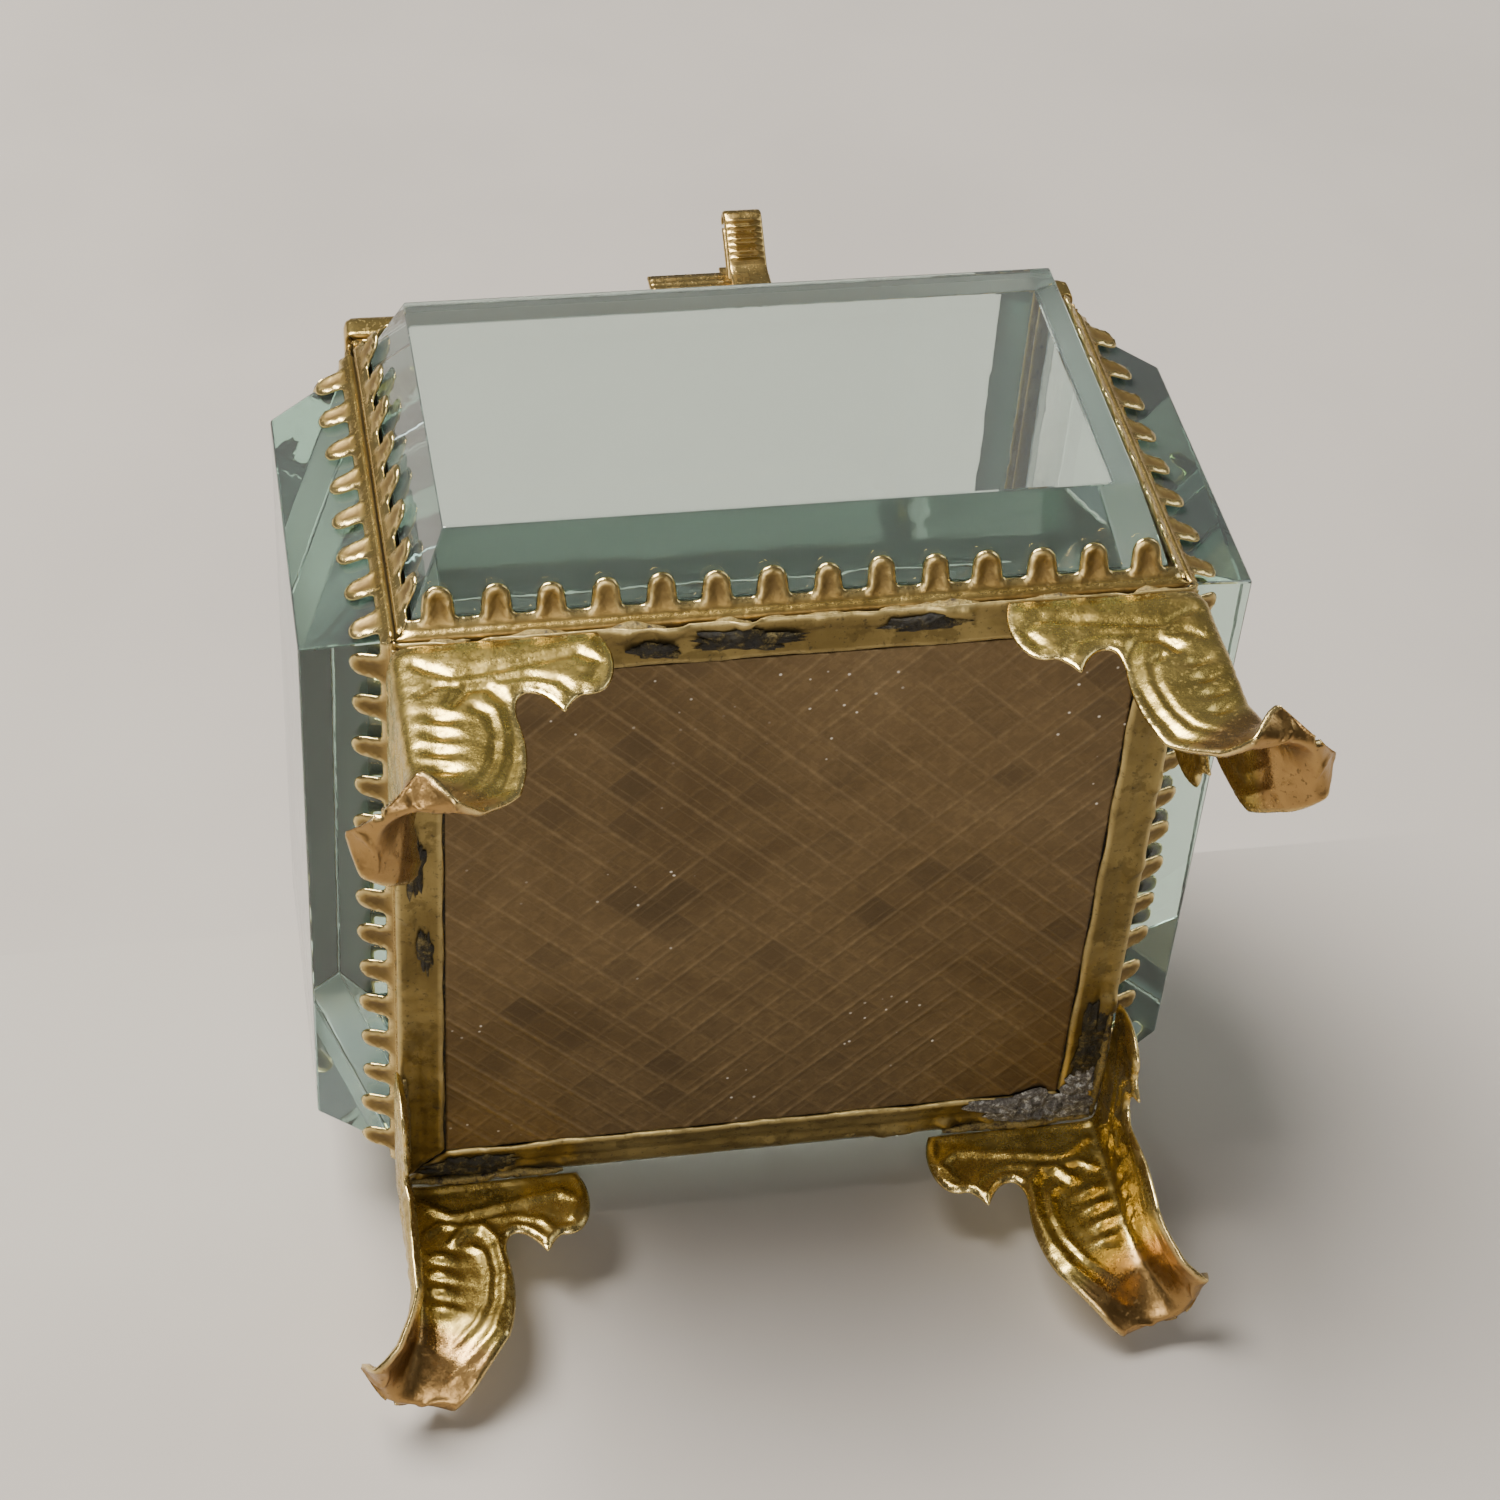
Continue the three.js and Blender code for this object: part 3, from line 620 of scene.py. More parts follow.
BEND = [(0.62, 0.0)]
LEVEL = Profile([(0, -2.6), (0, -0.15), (0.15, 0.02), *BEND], FLAT_INSET, PROUD)
UPRIGHT = Profile([(2.25, -2.0), (0.3, -0.06), (0.4, 0.02), *BEND], FLAT_INSET, PROUD)
LID_EDGE = Profile(
    [(2.9, -LID_RIM), (0.12, -LID_RIM), (0, -LID_RIM + 0.15), (0, -0.15), (0.12, 0.02), *BEND],
    LID_FLAT_INSET,
    LID_PROUD,
)


def tooth_line(half, root, rng, clear=0.0):
    """The toothed edge, from the positive end to the negative one, with each tooth a little different."""
    count = round((2 * half - 2 * LIP) / TOOTH_PITCH)
    pitch = (2 * half - 2 * LIP) / count
    valley = root + VALLEY
    points = []
    for k in reversed(range(count)):
        s = (k - (count - 1) / 2) * pitch + rng.uniform(-0.1, 0.1)
        if abs(s) < clear:
            continue
        w = TOOTH_WIDTH / 2 * rng.uniform(0.93, 1.08)
        tip = valley + TOOTH_LENGTH * rng.uniform(0.93, 1.05)
        foot = 0.42
        points += arc((s + w + foot, valley + foot), foot, 270, 180, 4)
        points += arc((s, tip - w * 0.92), w * 0.92, 0, 180, 9)
        points += arc((s - w - foot, valley + foot), foot, 0, -90, 4)
    return points


def add_strip(name, half, profile, origin, along, inward, out, body, seed, corner=False, clear=0.0):
    """One toothed strip. Its own directions are along, inward from the frame's edge, and out of the face."""
    rng = random.Random(seed)
    trim = GAP / math.sqrt(2)

    def end(p):
        e, o = profile.at(np.array([p]))[0]
        return half - max(e, -o if corner else 0, 0) - trim

    up = np.arange(0, profile.root + VALLEY, 0.3)
    teeth = tooth_line(half, profile.root, rng, clear)
    top = profile.root + VALLEY
    right = [(end(p), p) for p in [*up, top]]
    left = [(-end(p), p) for p in [top, *up[::-1]]]
    outline = resample([*right, *teeth, *left], 0.28, closed=True)
    along, inward, out = (np.asarray(v, float) for v in (along, inward, out))

    def place(flat):
        eo = profile.at(flat[:, 1])
        n = profile.normal(flat[:, 1])
        where = origin + flat[:, :1] * along + eo[:, :1] * inward + eo[:, 1:] * out
        return where, n[:, :1] * inward + n[:, 1:] * out

    def relief(flat, depth):
        where, _ = place(flat)
        tooth = smoothstep(profile.root - 0.1, top + 0.3, flat[:, 1])
        rim = bell(depth - 0.16, 0.13) * 0.09 * tooth
        dish = -0.14 * tooth * smoothstep(0.2, 0.75, depth)
        band = profile.root - flat[:, 1]
        raised = 0.07 * bell(band - 0.35, 0.16)
        return rim + dish + raised + 0.035 * rumple(where, 4.0, seed) + 0.012 * rumple(where, 0.9, seed + 5)

    points, faces, wear_and_highlight, flat = stamped(outline, 0.34, place, relief, SHEET, edge=0.12)
    wear_and_highlight = wear_and_highlight * smoothstep(profile.root - 0.4, profile.root, flat[:, 1])
    shades = {"wear_and_highlight": wear_and_highlight, "dish": smoothstep(0.22, 0.5, distance_to(flat, outline, closed=True))}
    shades["dish"] = shades["dish"] * smoothstep(profile.root - 0.1, top + 0.3, flat[:, 1])
    return piece(f"{name}_gallery", points, faces, GILT, body, [name], "gilt_brass", shades=shades)


def add_walls():
    middle = (WALL_BOTTOM + WALL_TOP) / 2
    low, high = span("hinge_body_leaf")
    clear = (high.x - low.x) / 2 + 0.8
    for side, quarters in SIDES.items():
        add_glass(f"glass_{side}", "casket")
        along, up, out = (turned(v, quarters) for v in (X, Z, -Y))
        face = turned((0, -HALF, middle), quarters)
        strips = {
            "bottom": (HALF, LEVEL, face - up * WALL / 2, along, up),
            "top": (HALF, LEVEL, face + up * WALL / 2, -along, -up),
            "left": (WALL / 2, UPRIGHT, face - along * HALF, -up, along),
            "right": (WALL / 2, UPRIGHT, face + along * HALF, up, -along),
        }
        for number, (end, (half, profile, origin, run, inward)) in enumerate(strips.items()):
            gap = clear if (side, end) == ("back", "top") else 0.0
            level = end in ("bottom", "top")
            seed = quarters * 4 + number + 1
            name = f"strip_{side}_{end}"
            add_strip(name, half, profile, origin, run, inward, out, "casket", seed, level, gap)


def add_lid():
    add_glass("glass_lid", "lid")
    for side, quarters in SIDES.items():
        origin = turned((0, -HALF, LID_TOP), quarters)
        run, inward = turned(X, quarters), turned(Y, quarters)
        add_strip(f"lid_strip_{side}", HALF, LID_EDGE, origin, run, inward, Z, "lid", 40 + quarters)


# ---- base ----


def add_plate():
    """The embossed plate, its lattice standing up from both of its faces."""
    half = PLATE_HIGH.x
    count = 260
    line = np.linspace(-half, half, count + 1)
    x, y = np.meshgrid(line, line)

    def ridges(value):
        across = value / (PATTERN_PITCH * math.sqrt(2))
        near = np.abs(across - np.floor(across) - 0.5)
        main = smoothstep(0.5 - LINE_WIDTH / PATTERN_PITCH, 0.5, near)
        faint = 0.4 * (1 - smoothstep(0.0, 0.05, np.abs(near - 0.25)))
        return np.maximum(main, faint)

    lattice = np.maximum(ridges(x + y), 0.8 * ridges(x - y))
    flat = np.stack([x.ravel(), y.ravel(), np.zeros(x.size)], -1)
    swell = 0.05 * rumple(flat, 14.0, 3) + 0.02 * rumple(flat, 3.0, 4)
    height = 0.05 * lattice.ravel() + swell - 0.08
    under = np.stack([x.ravel(), y.ravel(), PLATE_LOW.z - height], -1)
    over = np.stack([x.ravel(), y.ravel(), PLATE_HIGH.z + height], -1)
    n = count + 1
    corner = (np.arange(count)[:, None] * n + np.arange(count)[None, :]).ravel()
    quads = np.stack([corner, corner + n, corner + n + 1, corner + 1], -1)
    faces = [tuple(q) for q in quads] + [tuple(q[::-1] + n * n) for q in quads]
    rim = [*range(count), *(k * n + count for k in range(count))]
    rim += [count * n + k for k in range(count, 0, -1)] + [k * n for k in range(count, 0, -1)]
    for a, b in zip(rim, rim[1:] + rim[:1]):
        faces.append((a, b, b + n * n, a + n * n))
    points = np.vstack([under, over])
    piece("base_plate_lattice", points, faces, BRONZE, "casket", ["base_plate"], "patterned_plate")


def add_rail(side, quarters):
    """One base rail: a narrow strip with a raised inner edge and a groove, soldered on by hand."""
    rng = random.Random(70 + quarters)
    trim = GAP / math.sqrt(2)
    reach = HALF - RAIL_WIDTH - trim
    inner = []
    for s in np.linspace(reach, -reach, 40):
        inner.append((s, RAIL_WIDTH + 0.07 * math.sin(s * 0.9 + quarters) - 0.08))
    outline = resample([(-HALF + trim, 0.0), (HALF - trim, 0.0), *inner], 0.4, closed=True)
    wave = rng.uniform(0, 6)

    def place(flat):
        points = np.stack([flat[:, 0], flat[:, 1] - HALF, np.full(len(flat), BASE)], -1)
        return turned(points, quarters), np.tile(-Z, (len(flat), 1))

    def relief(flat, depth):
        where, _ = place(flat)
        lip = 0.16 * bell(RAIL_WIDTH - 0.3 - flat[:, 1], 0.22)
        groove = -0.12 * bell(flat[:, 1] - 1.25 - 0.1 * np.sin(flat[:, 0] * 0.3 + wave), 0.2)
        dents = 0.08 * rumple(where, 3.5, quarters + 20) + 0.06 * rumple(where, 0.9, quarters)
        blobs = 0.32 * smoothstep(0.12, 0.5, rumple(where, 1.7, quarters + 31))
        blobs = blobs * smoothstep(1.5, 0.3, flat[:, 1])
        return lip + groove - 0.1 + dents + blobs

    points, faces, wear_and_highlight, _ = stamped(outline, 0.32, place, relief, RAIL_HIGH.z - BASE - 0.05, edge=0.08)
    name = f"base_rail_{side}"
    shades = {"wear_and_highlight": wear_and_highlight * 0.6}
    piece(f"{name}_strip", points, faces, RAIL_BRASS, "casket", [name], "gilt_brass", shades=shades)


def lumpy_tube(path, radii, seed, sides=10):
    """Points and faces of a closed, uneven bead along a path."""
    points = []
    path = np.asarray(path, float)
    for k, centre in enumerate(path):
        along = path[min(k + 1, len(path) - 1)] - path[max(k - 1, 0)]
        along = along / np.linalg.norm(along)
        across = np.cross(along, (0.3, 0.5, 0.81))
        across /= np.linalg.norm(across)
        up = np.cross(along, across)
        for j in range(sides):
            t = 2 * math.pi * j / sides
            d = across * math.cos(t) + up * math.sin(t)
            r = radii[k] * (1 + 0.5 * noise.noise(Vector(centre + d * 0.4) * 2.2 + Vector((seed, 0, 0))))
            points.append(centre + d * r)
    return points, ring_faces(len(path), sides, caps=True)


def bead(radius, t, floor):
    """Radii of a bead that tapers at both ends."""
    return radius * np.sqrt(np.clip(np.sin(math.pi * t), floor, 1))


def add_seams():
    """Runs of solder between the rails and the bottom strips, with dark slots left between them."""
    for side, quarters in SIDES.items():
        rng = random.Random(90 + quarters)
        runs = []
        s = -HALF + 2.0
        while s < HALF - 3:
            length = rng.uniform(1.6, 7.0)
            end = min(s + length, HALF - 1.5)
            count = max(6, int((end - s) / 0.35))
            t = np.linspace(0, 1, count)
            radii = bead(0.34, t, 0.02) * rng.uniform(0.7, 1.3)
            y = -HALF + 0.32 + 0.12 * np.sin(t * 9 + s)
            path = np.stack([s + (end - s) * t, y, np.full(count, RAIL_HIGH.z + 0.12)], -1)
            seed = quarters * 3 + sum(len(run[0]) for run in runs)
            runs.append(lumpy_tube(turned(path, quarters), radii, seed))
            s = end + rng.uniform(0.3, 2.6)
        piece(f"seam_solder_{side}", *joined(runs), SOLDER, "casket")


CRUST_EDGE = ((0.5, 1.7), (0.3, 5.3), (0.12, 13))  # shares and fineness of the bays in a crust's edge


def add_crust(name, centre, reach, turn, height, material, seed, thin=0.12):
    """A crusty patch lying on the underside of the base: an uneven lens, spreading along its longer reach."""
    rings, around = 26, 64
    points = []
    c, s = math.cos(turn), math.sin(turn)
    for layer in (1, 0):
        for k in range(rings + 1):
            for j in range(around):
                t = 2 * math.pi * j / around
                at = Vector((math.cos(t), math.sin(t), seed))
                edge = 1 + sum(share * noise.noise(at * size) for share, size in CRUST_EDGE)
                rho = k / rings
                u = reach[0] * rho * edge * math.cos(t)
                v = reach[1] * rho * edge * math.sin(t)
                x, y = centre[0] + c * u - s * v, centre[1] + s * u + c * v
                rough = noise.fractal(Vector((x, y, seed)) * 1.5, 1.0, 2.1, 5)
                lift = height * (1 - rho**2.2) * (0.55 + 0.75 * rough) + thin * (1 - rho**6)
                z = centre[2] - max(lift, 0.02) * layer
                points.append((x, y, z))
    per = (rings + 1) * around
    skin = ring_faces(rings + 1, around)
    faces = skin + [tuple(v + per for v in face[::-1]) for face in skin]
    last = rings * around
    for j in range(around):
        a, b = last + j, last + (j + 1) % around
        faces.append((a, b, b + per, a + per))
    piece(name, points, faces, material, "casket")


def add_painted_shadow_ledge():
    """A dark ledge behind the joint between the plate and its rails: a painted shadow for the recess there,
    in the black flux material.
    """
    inner, outer = PLATE_HIGH.x - 0.35, HALF - RAIL_WIDTH + 0.9
    low, high = PLATE_LOW.z + 0.3, PLATE_HIGH.z - 0.08
    points = []
    for reach, z in ((inner, low), (outer, low), (outer, high), (inner, high)):
        points += [(-reach, -reach, z), (reach, -reach, z), (reach, reach, z), (-reach, reach, z)]
    piece("base_plate_painted_shadow", points, ring_faces(4, 4, wrap=True), FLUX, "casket", smooth=False)


def add_base():
    add_plate()
    add_painted_shadow_ledge()
    for side, quarters in SIDES.items():
        add_rail(side, quarters)
    add_seams()
    rail = HALF - RAIL_WIDTH / 2
    for name, centre, reach, turn, height, material in (
        ("crust_back_right", (rail - 2.9, rail - 0.1), (4.4, 1.7), 0.0, 0.5, CRUST),
        ("crust_back_right_low", (rail + 0.1, rail - 2.2), (1.2, 2.2), 0.0, 0.4, CRUST),
        ("flux_right", (rail + 0.2, rail - 6.5), (1.1, 4.2), 0.05, 0.35, FLUX),
        ("flux_back_left", (-rail + 3.4, rail + 0.1), (3.2, 1.1), 0.05, 0.35, FLUX),
        ("flux_front_middle", (-4.0, -rail - 0.2), (3.4, 0.75), 0.03, 0.25, FLUX),
        ("flux_front_right", (7.5, -rail - 0.5), (2.6, 0.6), -0.03, 0.25, FLUX),
        ("flux_front_left", (-9.0, -rail + 0.2), (1.8, 0.6), 0.1, 0.2, FLUX),
        ("flux_left_upper", (-rail - 0.3, -6.5), (0.6, 3.0), 0.05, 0.2, FLUX),
        ("flux_left_lower", (-rail + 0.3, 1.5), (0.5, 2.2), -0.05, 0.2, FLUX),
        ("tarnish_front_left", (-HALF + 5.5, -HALF + 0.9), (3.6, 0.8), 0.0, 0.3, TARNISH),
    ):
        add_crust(name, (*centre, BASE), reach, turn, height, material, len(name) + round(centre[0]))


# ---- feet ----

FOOT_SHEET = 0.5
FOOT_INSET = 0.1
ANKLE_FOLD, ANKLE_EDGE = 9.6, 13.4  # depth of the ankle at the fold, and at the edges of the wings
ARM = 5.7  # from the fold to the edge there
TOE = 7.8  # length of the toe, along its surface
SOFT = 0.6  # roundness of the fold
TOE_LINES = [
    {"across": 4.45, "out": (0.0, -4.45), "down": (7.4, 11.0), "round": 1.0},
    {"across": 4.03, "out": (0.0, -4.03), "down": (9.6, 13.4), "round": 1.0},
    {"across": 3.85, "out": (0.45, -2.6), "down": (12.2, 15.4), "round": 1.15},
    {"across": 3.95, "out": (1.5, -0.4), "down": (14.8, 16.8), "round": 1.45},
    {"across": 4.05, "out": (2.6, 1.5), "down": (16.4, 16.7), "round": 1.8},
    {"across": 4.0, "out": (3.5, 3.0), "down": (16.3, 14.7), "round": 1.9},
]
SCROLLS = [
    # (line of a raised scroll as distance from the fold and depth, width, height)
    (
        [(2.9, 5.4), (3.7, 4.4), (5.0, 4.3), (5.9, 5.7), (6.1, 8.2), (5.7, 10.8), (4.8, 13.2), (3.4, 15.0)],
        0.42,
        0.36,
    ),
    ([(4.0, 6.0), (4.8, 6.6), (5.0, 8.4), (4.6, 10.6), (3.7, 12.4), (2.6, 13.4)], 0.24, 0.24),
    ([(0.9, 2.0), (3.0, 3.3), (5.6, 2.9), (8.2, 2.4), (10.6, 2.0), (11.9, 2.9), (11.2, 4.3)], 0.34, 0.24),
    ([(5.4, 3.9), (7.4, 3.7), (9.2, 4.3), (9.8, 5.3)], 0.26, 0.2),
    ([(1.0, 4.6), (2.0, 3.9), (3.1, 4.1)], 0.25, 0.22),
]
LOBES = [(1.9, 6.7), (1.75, 8.1), (1.6, 9.5), (1.7, 11.0)]  # beads beside the fold, placed the same way


def foot_outline():
    """Half of the unfolded foot, from the top of its wing round to the middle of the toe's end."""
    line = [(12.0, GAP)]
    for control, end in (
        ((12.9, 2.2), (12.3, 4.1)),
        ((11.8, 5.5), (10.7, 5.4)),
        ((10.0, 5.2), (9.2, 6.7)),
        ((8.3, 4.9), (7.2, 4.9)),
        ((6.3, 5.0), (6.3, 6.8)),
        ((6.9, 10.4), (ARM, ANKLE_EDGE)),
    ):
        line += bezier(line[-1], control, end, 9)
    tip = ANKLE_EDGE + TOE
    line += bezier(line[-1], (ARM * 0.86, ANKLE_EDGE + 2.4), (ARM * 0.91, tip - 3.4), 9)
    line += bezier(line[-1], (ARM * 0.97, tip - 1.2), (ARM * 0.68, tip - 0.85), 9)
    line += bezier(line[-1], (ARM * 0.4, tip - 0.7), (0.0, ANKLE_FOLD + TOE - 0.3), 8)
    return [np.asarray(p, float) for p in line]


def soft(a):
    """The distance from the fold, rounded off at the fold itself."""
    return np.sqrt(a * a + SOFT * SOFT)


def crease(a):
    """Depth of the ankle's V-shaped line, where the toe starts."""
    return ANKLE_FOLD + (ANKLE_EDGE - ANKLE_FOLD) * np.minimum(soft(a) / ARM, 1.2)


def catmull(lines, t):
    """A smooth curve for each column of points, through every line but the first; t runs from 0 to 1."""
    n = len(lines) - 1
    stack = np.stack(lines)
    x = 1 + np.clip(t, 0, 1) * (n - 1 - 1e-6)
    k = x.astype(int)
    f = (x - k)[:, None]
    column = np.arange(len(t))
    p0, p1, p2, p3 = (stack[np.clip(k + step, 0, n), column] for step in (-1, 0, 1, 2))
    curve = 2 * p1 + (p2 - p0) * f + (2 * p0 - 5 * p1 + 4 * p2 - p3) * f**2
    return (curve + (3 * p1 - p0 - 3 * p2 + p3) * f**3) / 2


def foot_surface(flat):
    """The folded and curled sheet, for the +X +Y corner, with the corner's edge as the Z axis."""
    across, h = flat[:, 0], flat[:, 1]
    wing = np.stack([(across - soft(across)) / 2, (-across - soft(across)) / 2, -h], -1)
    share = soft(across) / ARM
    lines = []
    for line in TOE_LINES:
        bulge = min((line["round"] - 1) / 0.8, 1)
        amount = share * (1 - bulge) + np.sin(np.minimum(share, 1) * math.pi / 2) ** 2.2 * bulge
        side = line["across"] * (across / ARM)
        out, down = (a + (b - a) * amount for a, b in (line["out"], line["down"]))
        lines.append(np.stack([(out + side) / math.sqrt(2), (out - side) / math.sqrt(2), -down], -1))
    toe = catmull(lines, (h - crease(across)) / TOE)
    return np.where((h > crease(across))[:, None], toe, wing)


def add_foot(name, quarters, seed):
    rng = random.Random(seed)
    half = foot_outline()
    left = [np.array((-p[0], p[1])) for p in half[-2::-1]]
    outline = resample([*half, *left], 0.3, closed=True)
    reach = HALF - FOOT_INSET
    origin = np.array((reach, reach, BASE))
    splay = math.radians(rng.uniform(-0.6, 0.6))

    def place(flat):
        step = 0.04
        where = foot_surface(flat)
        du = foot_surface(flat + (step, 0)) - foot_surface(flat - (step, 0))
        dv = foot_surface(flat + (0, step)) - foot_surface(flat - (0, step))
        normal = np.cross(dv, du)
        normal /= np.maximum(np.linalg.norm(normal, axis=1), 1e-9)[:, None]
        diagonal = np.array((1, 1, 0)) / math.sqrt(2)
        drop = np.clip(-where[:, 2] / BASE, 0, 1)
        where = where + diagonal * (drop**2 * math.sin(splay) * BASE)[:, None]
        return turned(where + origin, quarters), turned(normal, quarters)

    def relief(flat, depth):
        where, _ = place(flat)
        u, h = np.abs(flat[:, 0]), flat[:, 1]
        folded = np.stack([u, h], -1)
        height = 0.16 * bell(depth - 0.34, 0.2)
        for line, width, rise in SCROLLS:
            smooth = resample(line, 0.4)
            height = np.maximum(height, rise * bell(distance_to(folded, smooth), width))
        for cu, ch in LOBES:
            along = (u - cu) * 0.94 + (h - ch) * 0.34
            across = -(u - cu) * 0.34 + (h - ch) * 0.94
            lobe = 0.38 * bell(along, 1.05) * bell(across, 0.42)
            height = np.maximum(height, lobe)
        toe = (h - crease(u)) / TOE
        height = height * (1 - 0.55 * smoothstep(0.0, 0.25, toe))
        volute = np.hypot(u - ARM * 0.7, h - crease(u) - TOE * 0.8)
        ring = 0.2 * bell(volute - 1.35, 0.3) * smoothstep(0.45, 0.6, toe)
        height = np.maximum(height, ring) - 0.4 * bell(volute, 0.9)
        band = 0.16 * bell(toe - 0.3 - 0.12 * (u / ARM) ** 2, 0.07)
        height = np.maximum(height, band)
        hammered = 0.05 * rumple(where, 1.5, seed) + 0.025 * rumple(where, 0.5, seed + 3)
        hammered = hammered * (1 - 0.7 * smoothstep(0.0, 0.2, toe))
        return height * 0.9 - 0.12 + hammered

    points, faces, wear_and_highlight, flat = stamped(outline, 0.26, place, relief, FOOT_SHEET, edge=0.14)
    points[:, 2] = np.maximum(points[:, 2], 0.0)
    # The toe shade lays the painted dark reflection on the toes.
    toe = smoothstep(0.1, 0.22, (flat[:, 1] - crease(flat[:, 0])) / TOE)
    shades = {"wear_and_highlight": wear_and_highlight * 0.8, "toe": toe}
    piece(f"{name}_stamping", points, faces, FOOT, "casket", [name], "foot_brass", shades=shades)


def add_fillets():
    """Solder along the top of each wing, where it joins the rail."""
    runs = []
    for quarters in range(4):
        for wing in (1, -1):
            t = np.linspace(0, 1, 34)
            u = 0.4 + 10.8 * t
            out = np.full(len(t), HALF - 0.28)
            inward = HALF - u
            flat = np.stack([out, inward], -1) if wing == 1 else np.stack([inward, out], -1)
            path = np.stack([flat[:, 0], flat[:, 1], BASE - 0.16 + 0.1 * np.sin(t * 11 + quarters)], -1)
            radii = bead(0.36, 0.04 + 0.92 * t, 0.05)
            runs.append(lumpy_tube(turned(path, quarters), radii, 7 * quarters + wing))
    piece("foot_solder_fillets", *joined(runs), SOLDER, "casket")


def add_feet():
    add_fillets()
    for quarters, corner in enumerate(("back_right", "back_left", "front_left", "front_right")):
        add_foot(f"foot_{corner}", quarters, 110 + quarters)


# ---- hinge and catch ----


def lathe(profile, centre, along, around=40):
    """A ring or rod turned about a line: profile is (radius, place along it) points."""
    along = np.asarray(along, float)
    across = np.cross(along, (0.0, 0.6, 0.8))
    across /= np.linalg.norm(across)
    up = np.cross(along, across)
    points = []
    for r, t in profile:
        for j in range(around):
            angle = 2 * math.pi * j / around
            points.append(centre + along * t + (across * math.cos(angle) + up * math.sin(angle)) * r)
    return points, ring_faces(len(profile), around, wrap=True)


def rounded_block(low, high, radius=0.1):
    """A box with worn edges."""
    made = bmesh.new()
    bmesh.ops.create_cube(made, size=1)
    low, high = np.asarray(low, float), np.asarray(high, float)
    for v in made.verts:
        v.co = Vector((low + high) / 2 + np.array(v.co) * (high - low))
    bmesh.ops.bevel(made, geom=made.edges[:], offset=radius, segments=3, profile=0.5, affect="EDGES")
    return taken(made)


def add_hinge():
    knuckle, radius, bore = 4.8, 1.0, 0.62
    soft = 0.12
    half = knuckle / 2
    ring = [(bore, -half), (radius - soft, -half), (radius, -half + soft), (radius, half - soft)]
    ring += [(radius - soft, half), (bore, half)]
    centre = np.array(AXIS)
    for name, body, places, up in (
        ("hinge_body_leaf", "casket", (-knuckle - GAP, knuckle + GAP), -1),
        ("hinge_lid_leaf", "lid", (0.0,), 1),
    ):
        low, high = span(name)
        parts = [lathe(ring, centre + X * x, X) for x in places]
        flat = (low.z, AXIS.z - GAP / 2) if up < 0 else (AXIS.z + GAP / 2, high.z)
        parts.append(rounded_block((low.x, low.y, flat[0]), (high.x, low.y + 0.45, flat[1])))
        for x in places:
            tongue = (GAP / 2, 0.75) if up > 0 else (-0.75, -GAP / 2)
            block = (x - half, low.y, AXIS.z + tongue[0]), (x + half, AXIS.y - 0.7, AXIS.z + tongue[1])
            parts.append(rounded_block(*block, 0.06))
        points, faces = joined(parts)
        piece(f"{name}_brass", points, faces, GILT, body, [name], "gilt_brass", sharp=40)
    r = (PIN_HIGH.z - PIN_LOW.z) / 2
    end = PIN_HIGH.x
    half = [(r, end - 0.25), (r * 0.7, end - 0.06), (0.02, end)]
    dome = [(radius, -place) for radius, place in half[::-1]] + half
    points, faces = lathe(dome, centre * (0, 1, 1), X, 24)
    piece("hinge_pin_wire", points, faces, STEEL, "casket", ["hinge_pin"], "pin_steel", sharp=50)


THUMB_X = 2.5
THUMB_WIDTH = 2.6
THUMB_LENGTH = 5.0
THUMB_TILT = 53
THUMB_RISE = 2.5
THUMB_MARGIN = 0.3
CATCH_RISE = 1.9
CATCH_SHEET = 0.45
THUMB_OFFSET = 0.5  # face of the frame to the plate, plate to the tab, and top of the lid to the root
OPENING = 0.6  # between the two legs of the hairpin
RIBS = 7
LINES, LINE_PITCH = 4, 0.5  # the plate's level grooves


def ribbon(path, width, thickness, place, ribs=None):
    """A strip swept along a path in its own plane, with round edges; ribs raises its outer side."""
    path = np.asarray(path, float)
    w, t = width / 2, thickness / 2
    soft = t * 0.8
    section = []
    for sx, st, start in ((1, -1, 270), (1, 1, 0), (-1, 1, 90), (-1, -1, 180)):
        section += arc((sx * (w - soft), st * (t - soft)), soft, start, start + 90, 3)
    across = np.linspace(-w + soft, w - soft, 9)[1:-1]
    section = section[:8] + [(x, t) for x in across[::-1]] + section[8:]
    points = []
    for k, p in enumerate(path):
        d = path[min(k + 1, len(path) - 1)] - path[max(k - 1, 0)]
        d /= np.linalg.norm(d)
        n = np.array((-d[1], d[0]))
        for x, s in section:
            rise = ribs(k, x) if ribs and s > t * 0.9 else 0.0
            q = p + n * (s + rise)
            points.append(place(x, q[0], q[1]))
    return points, ring_faces(len(path), len(section), caps=True)


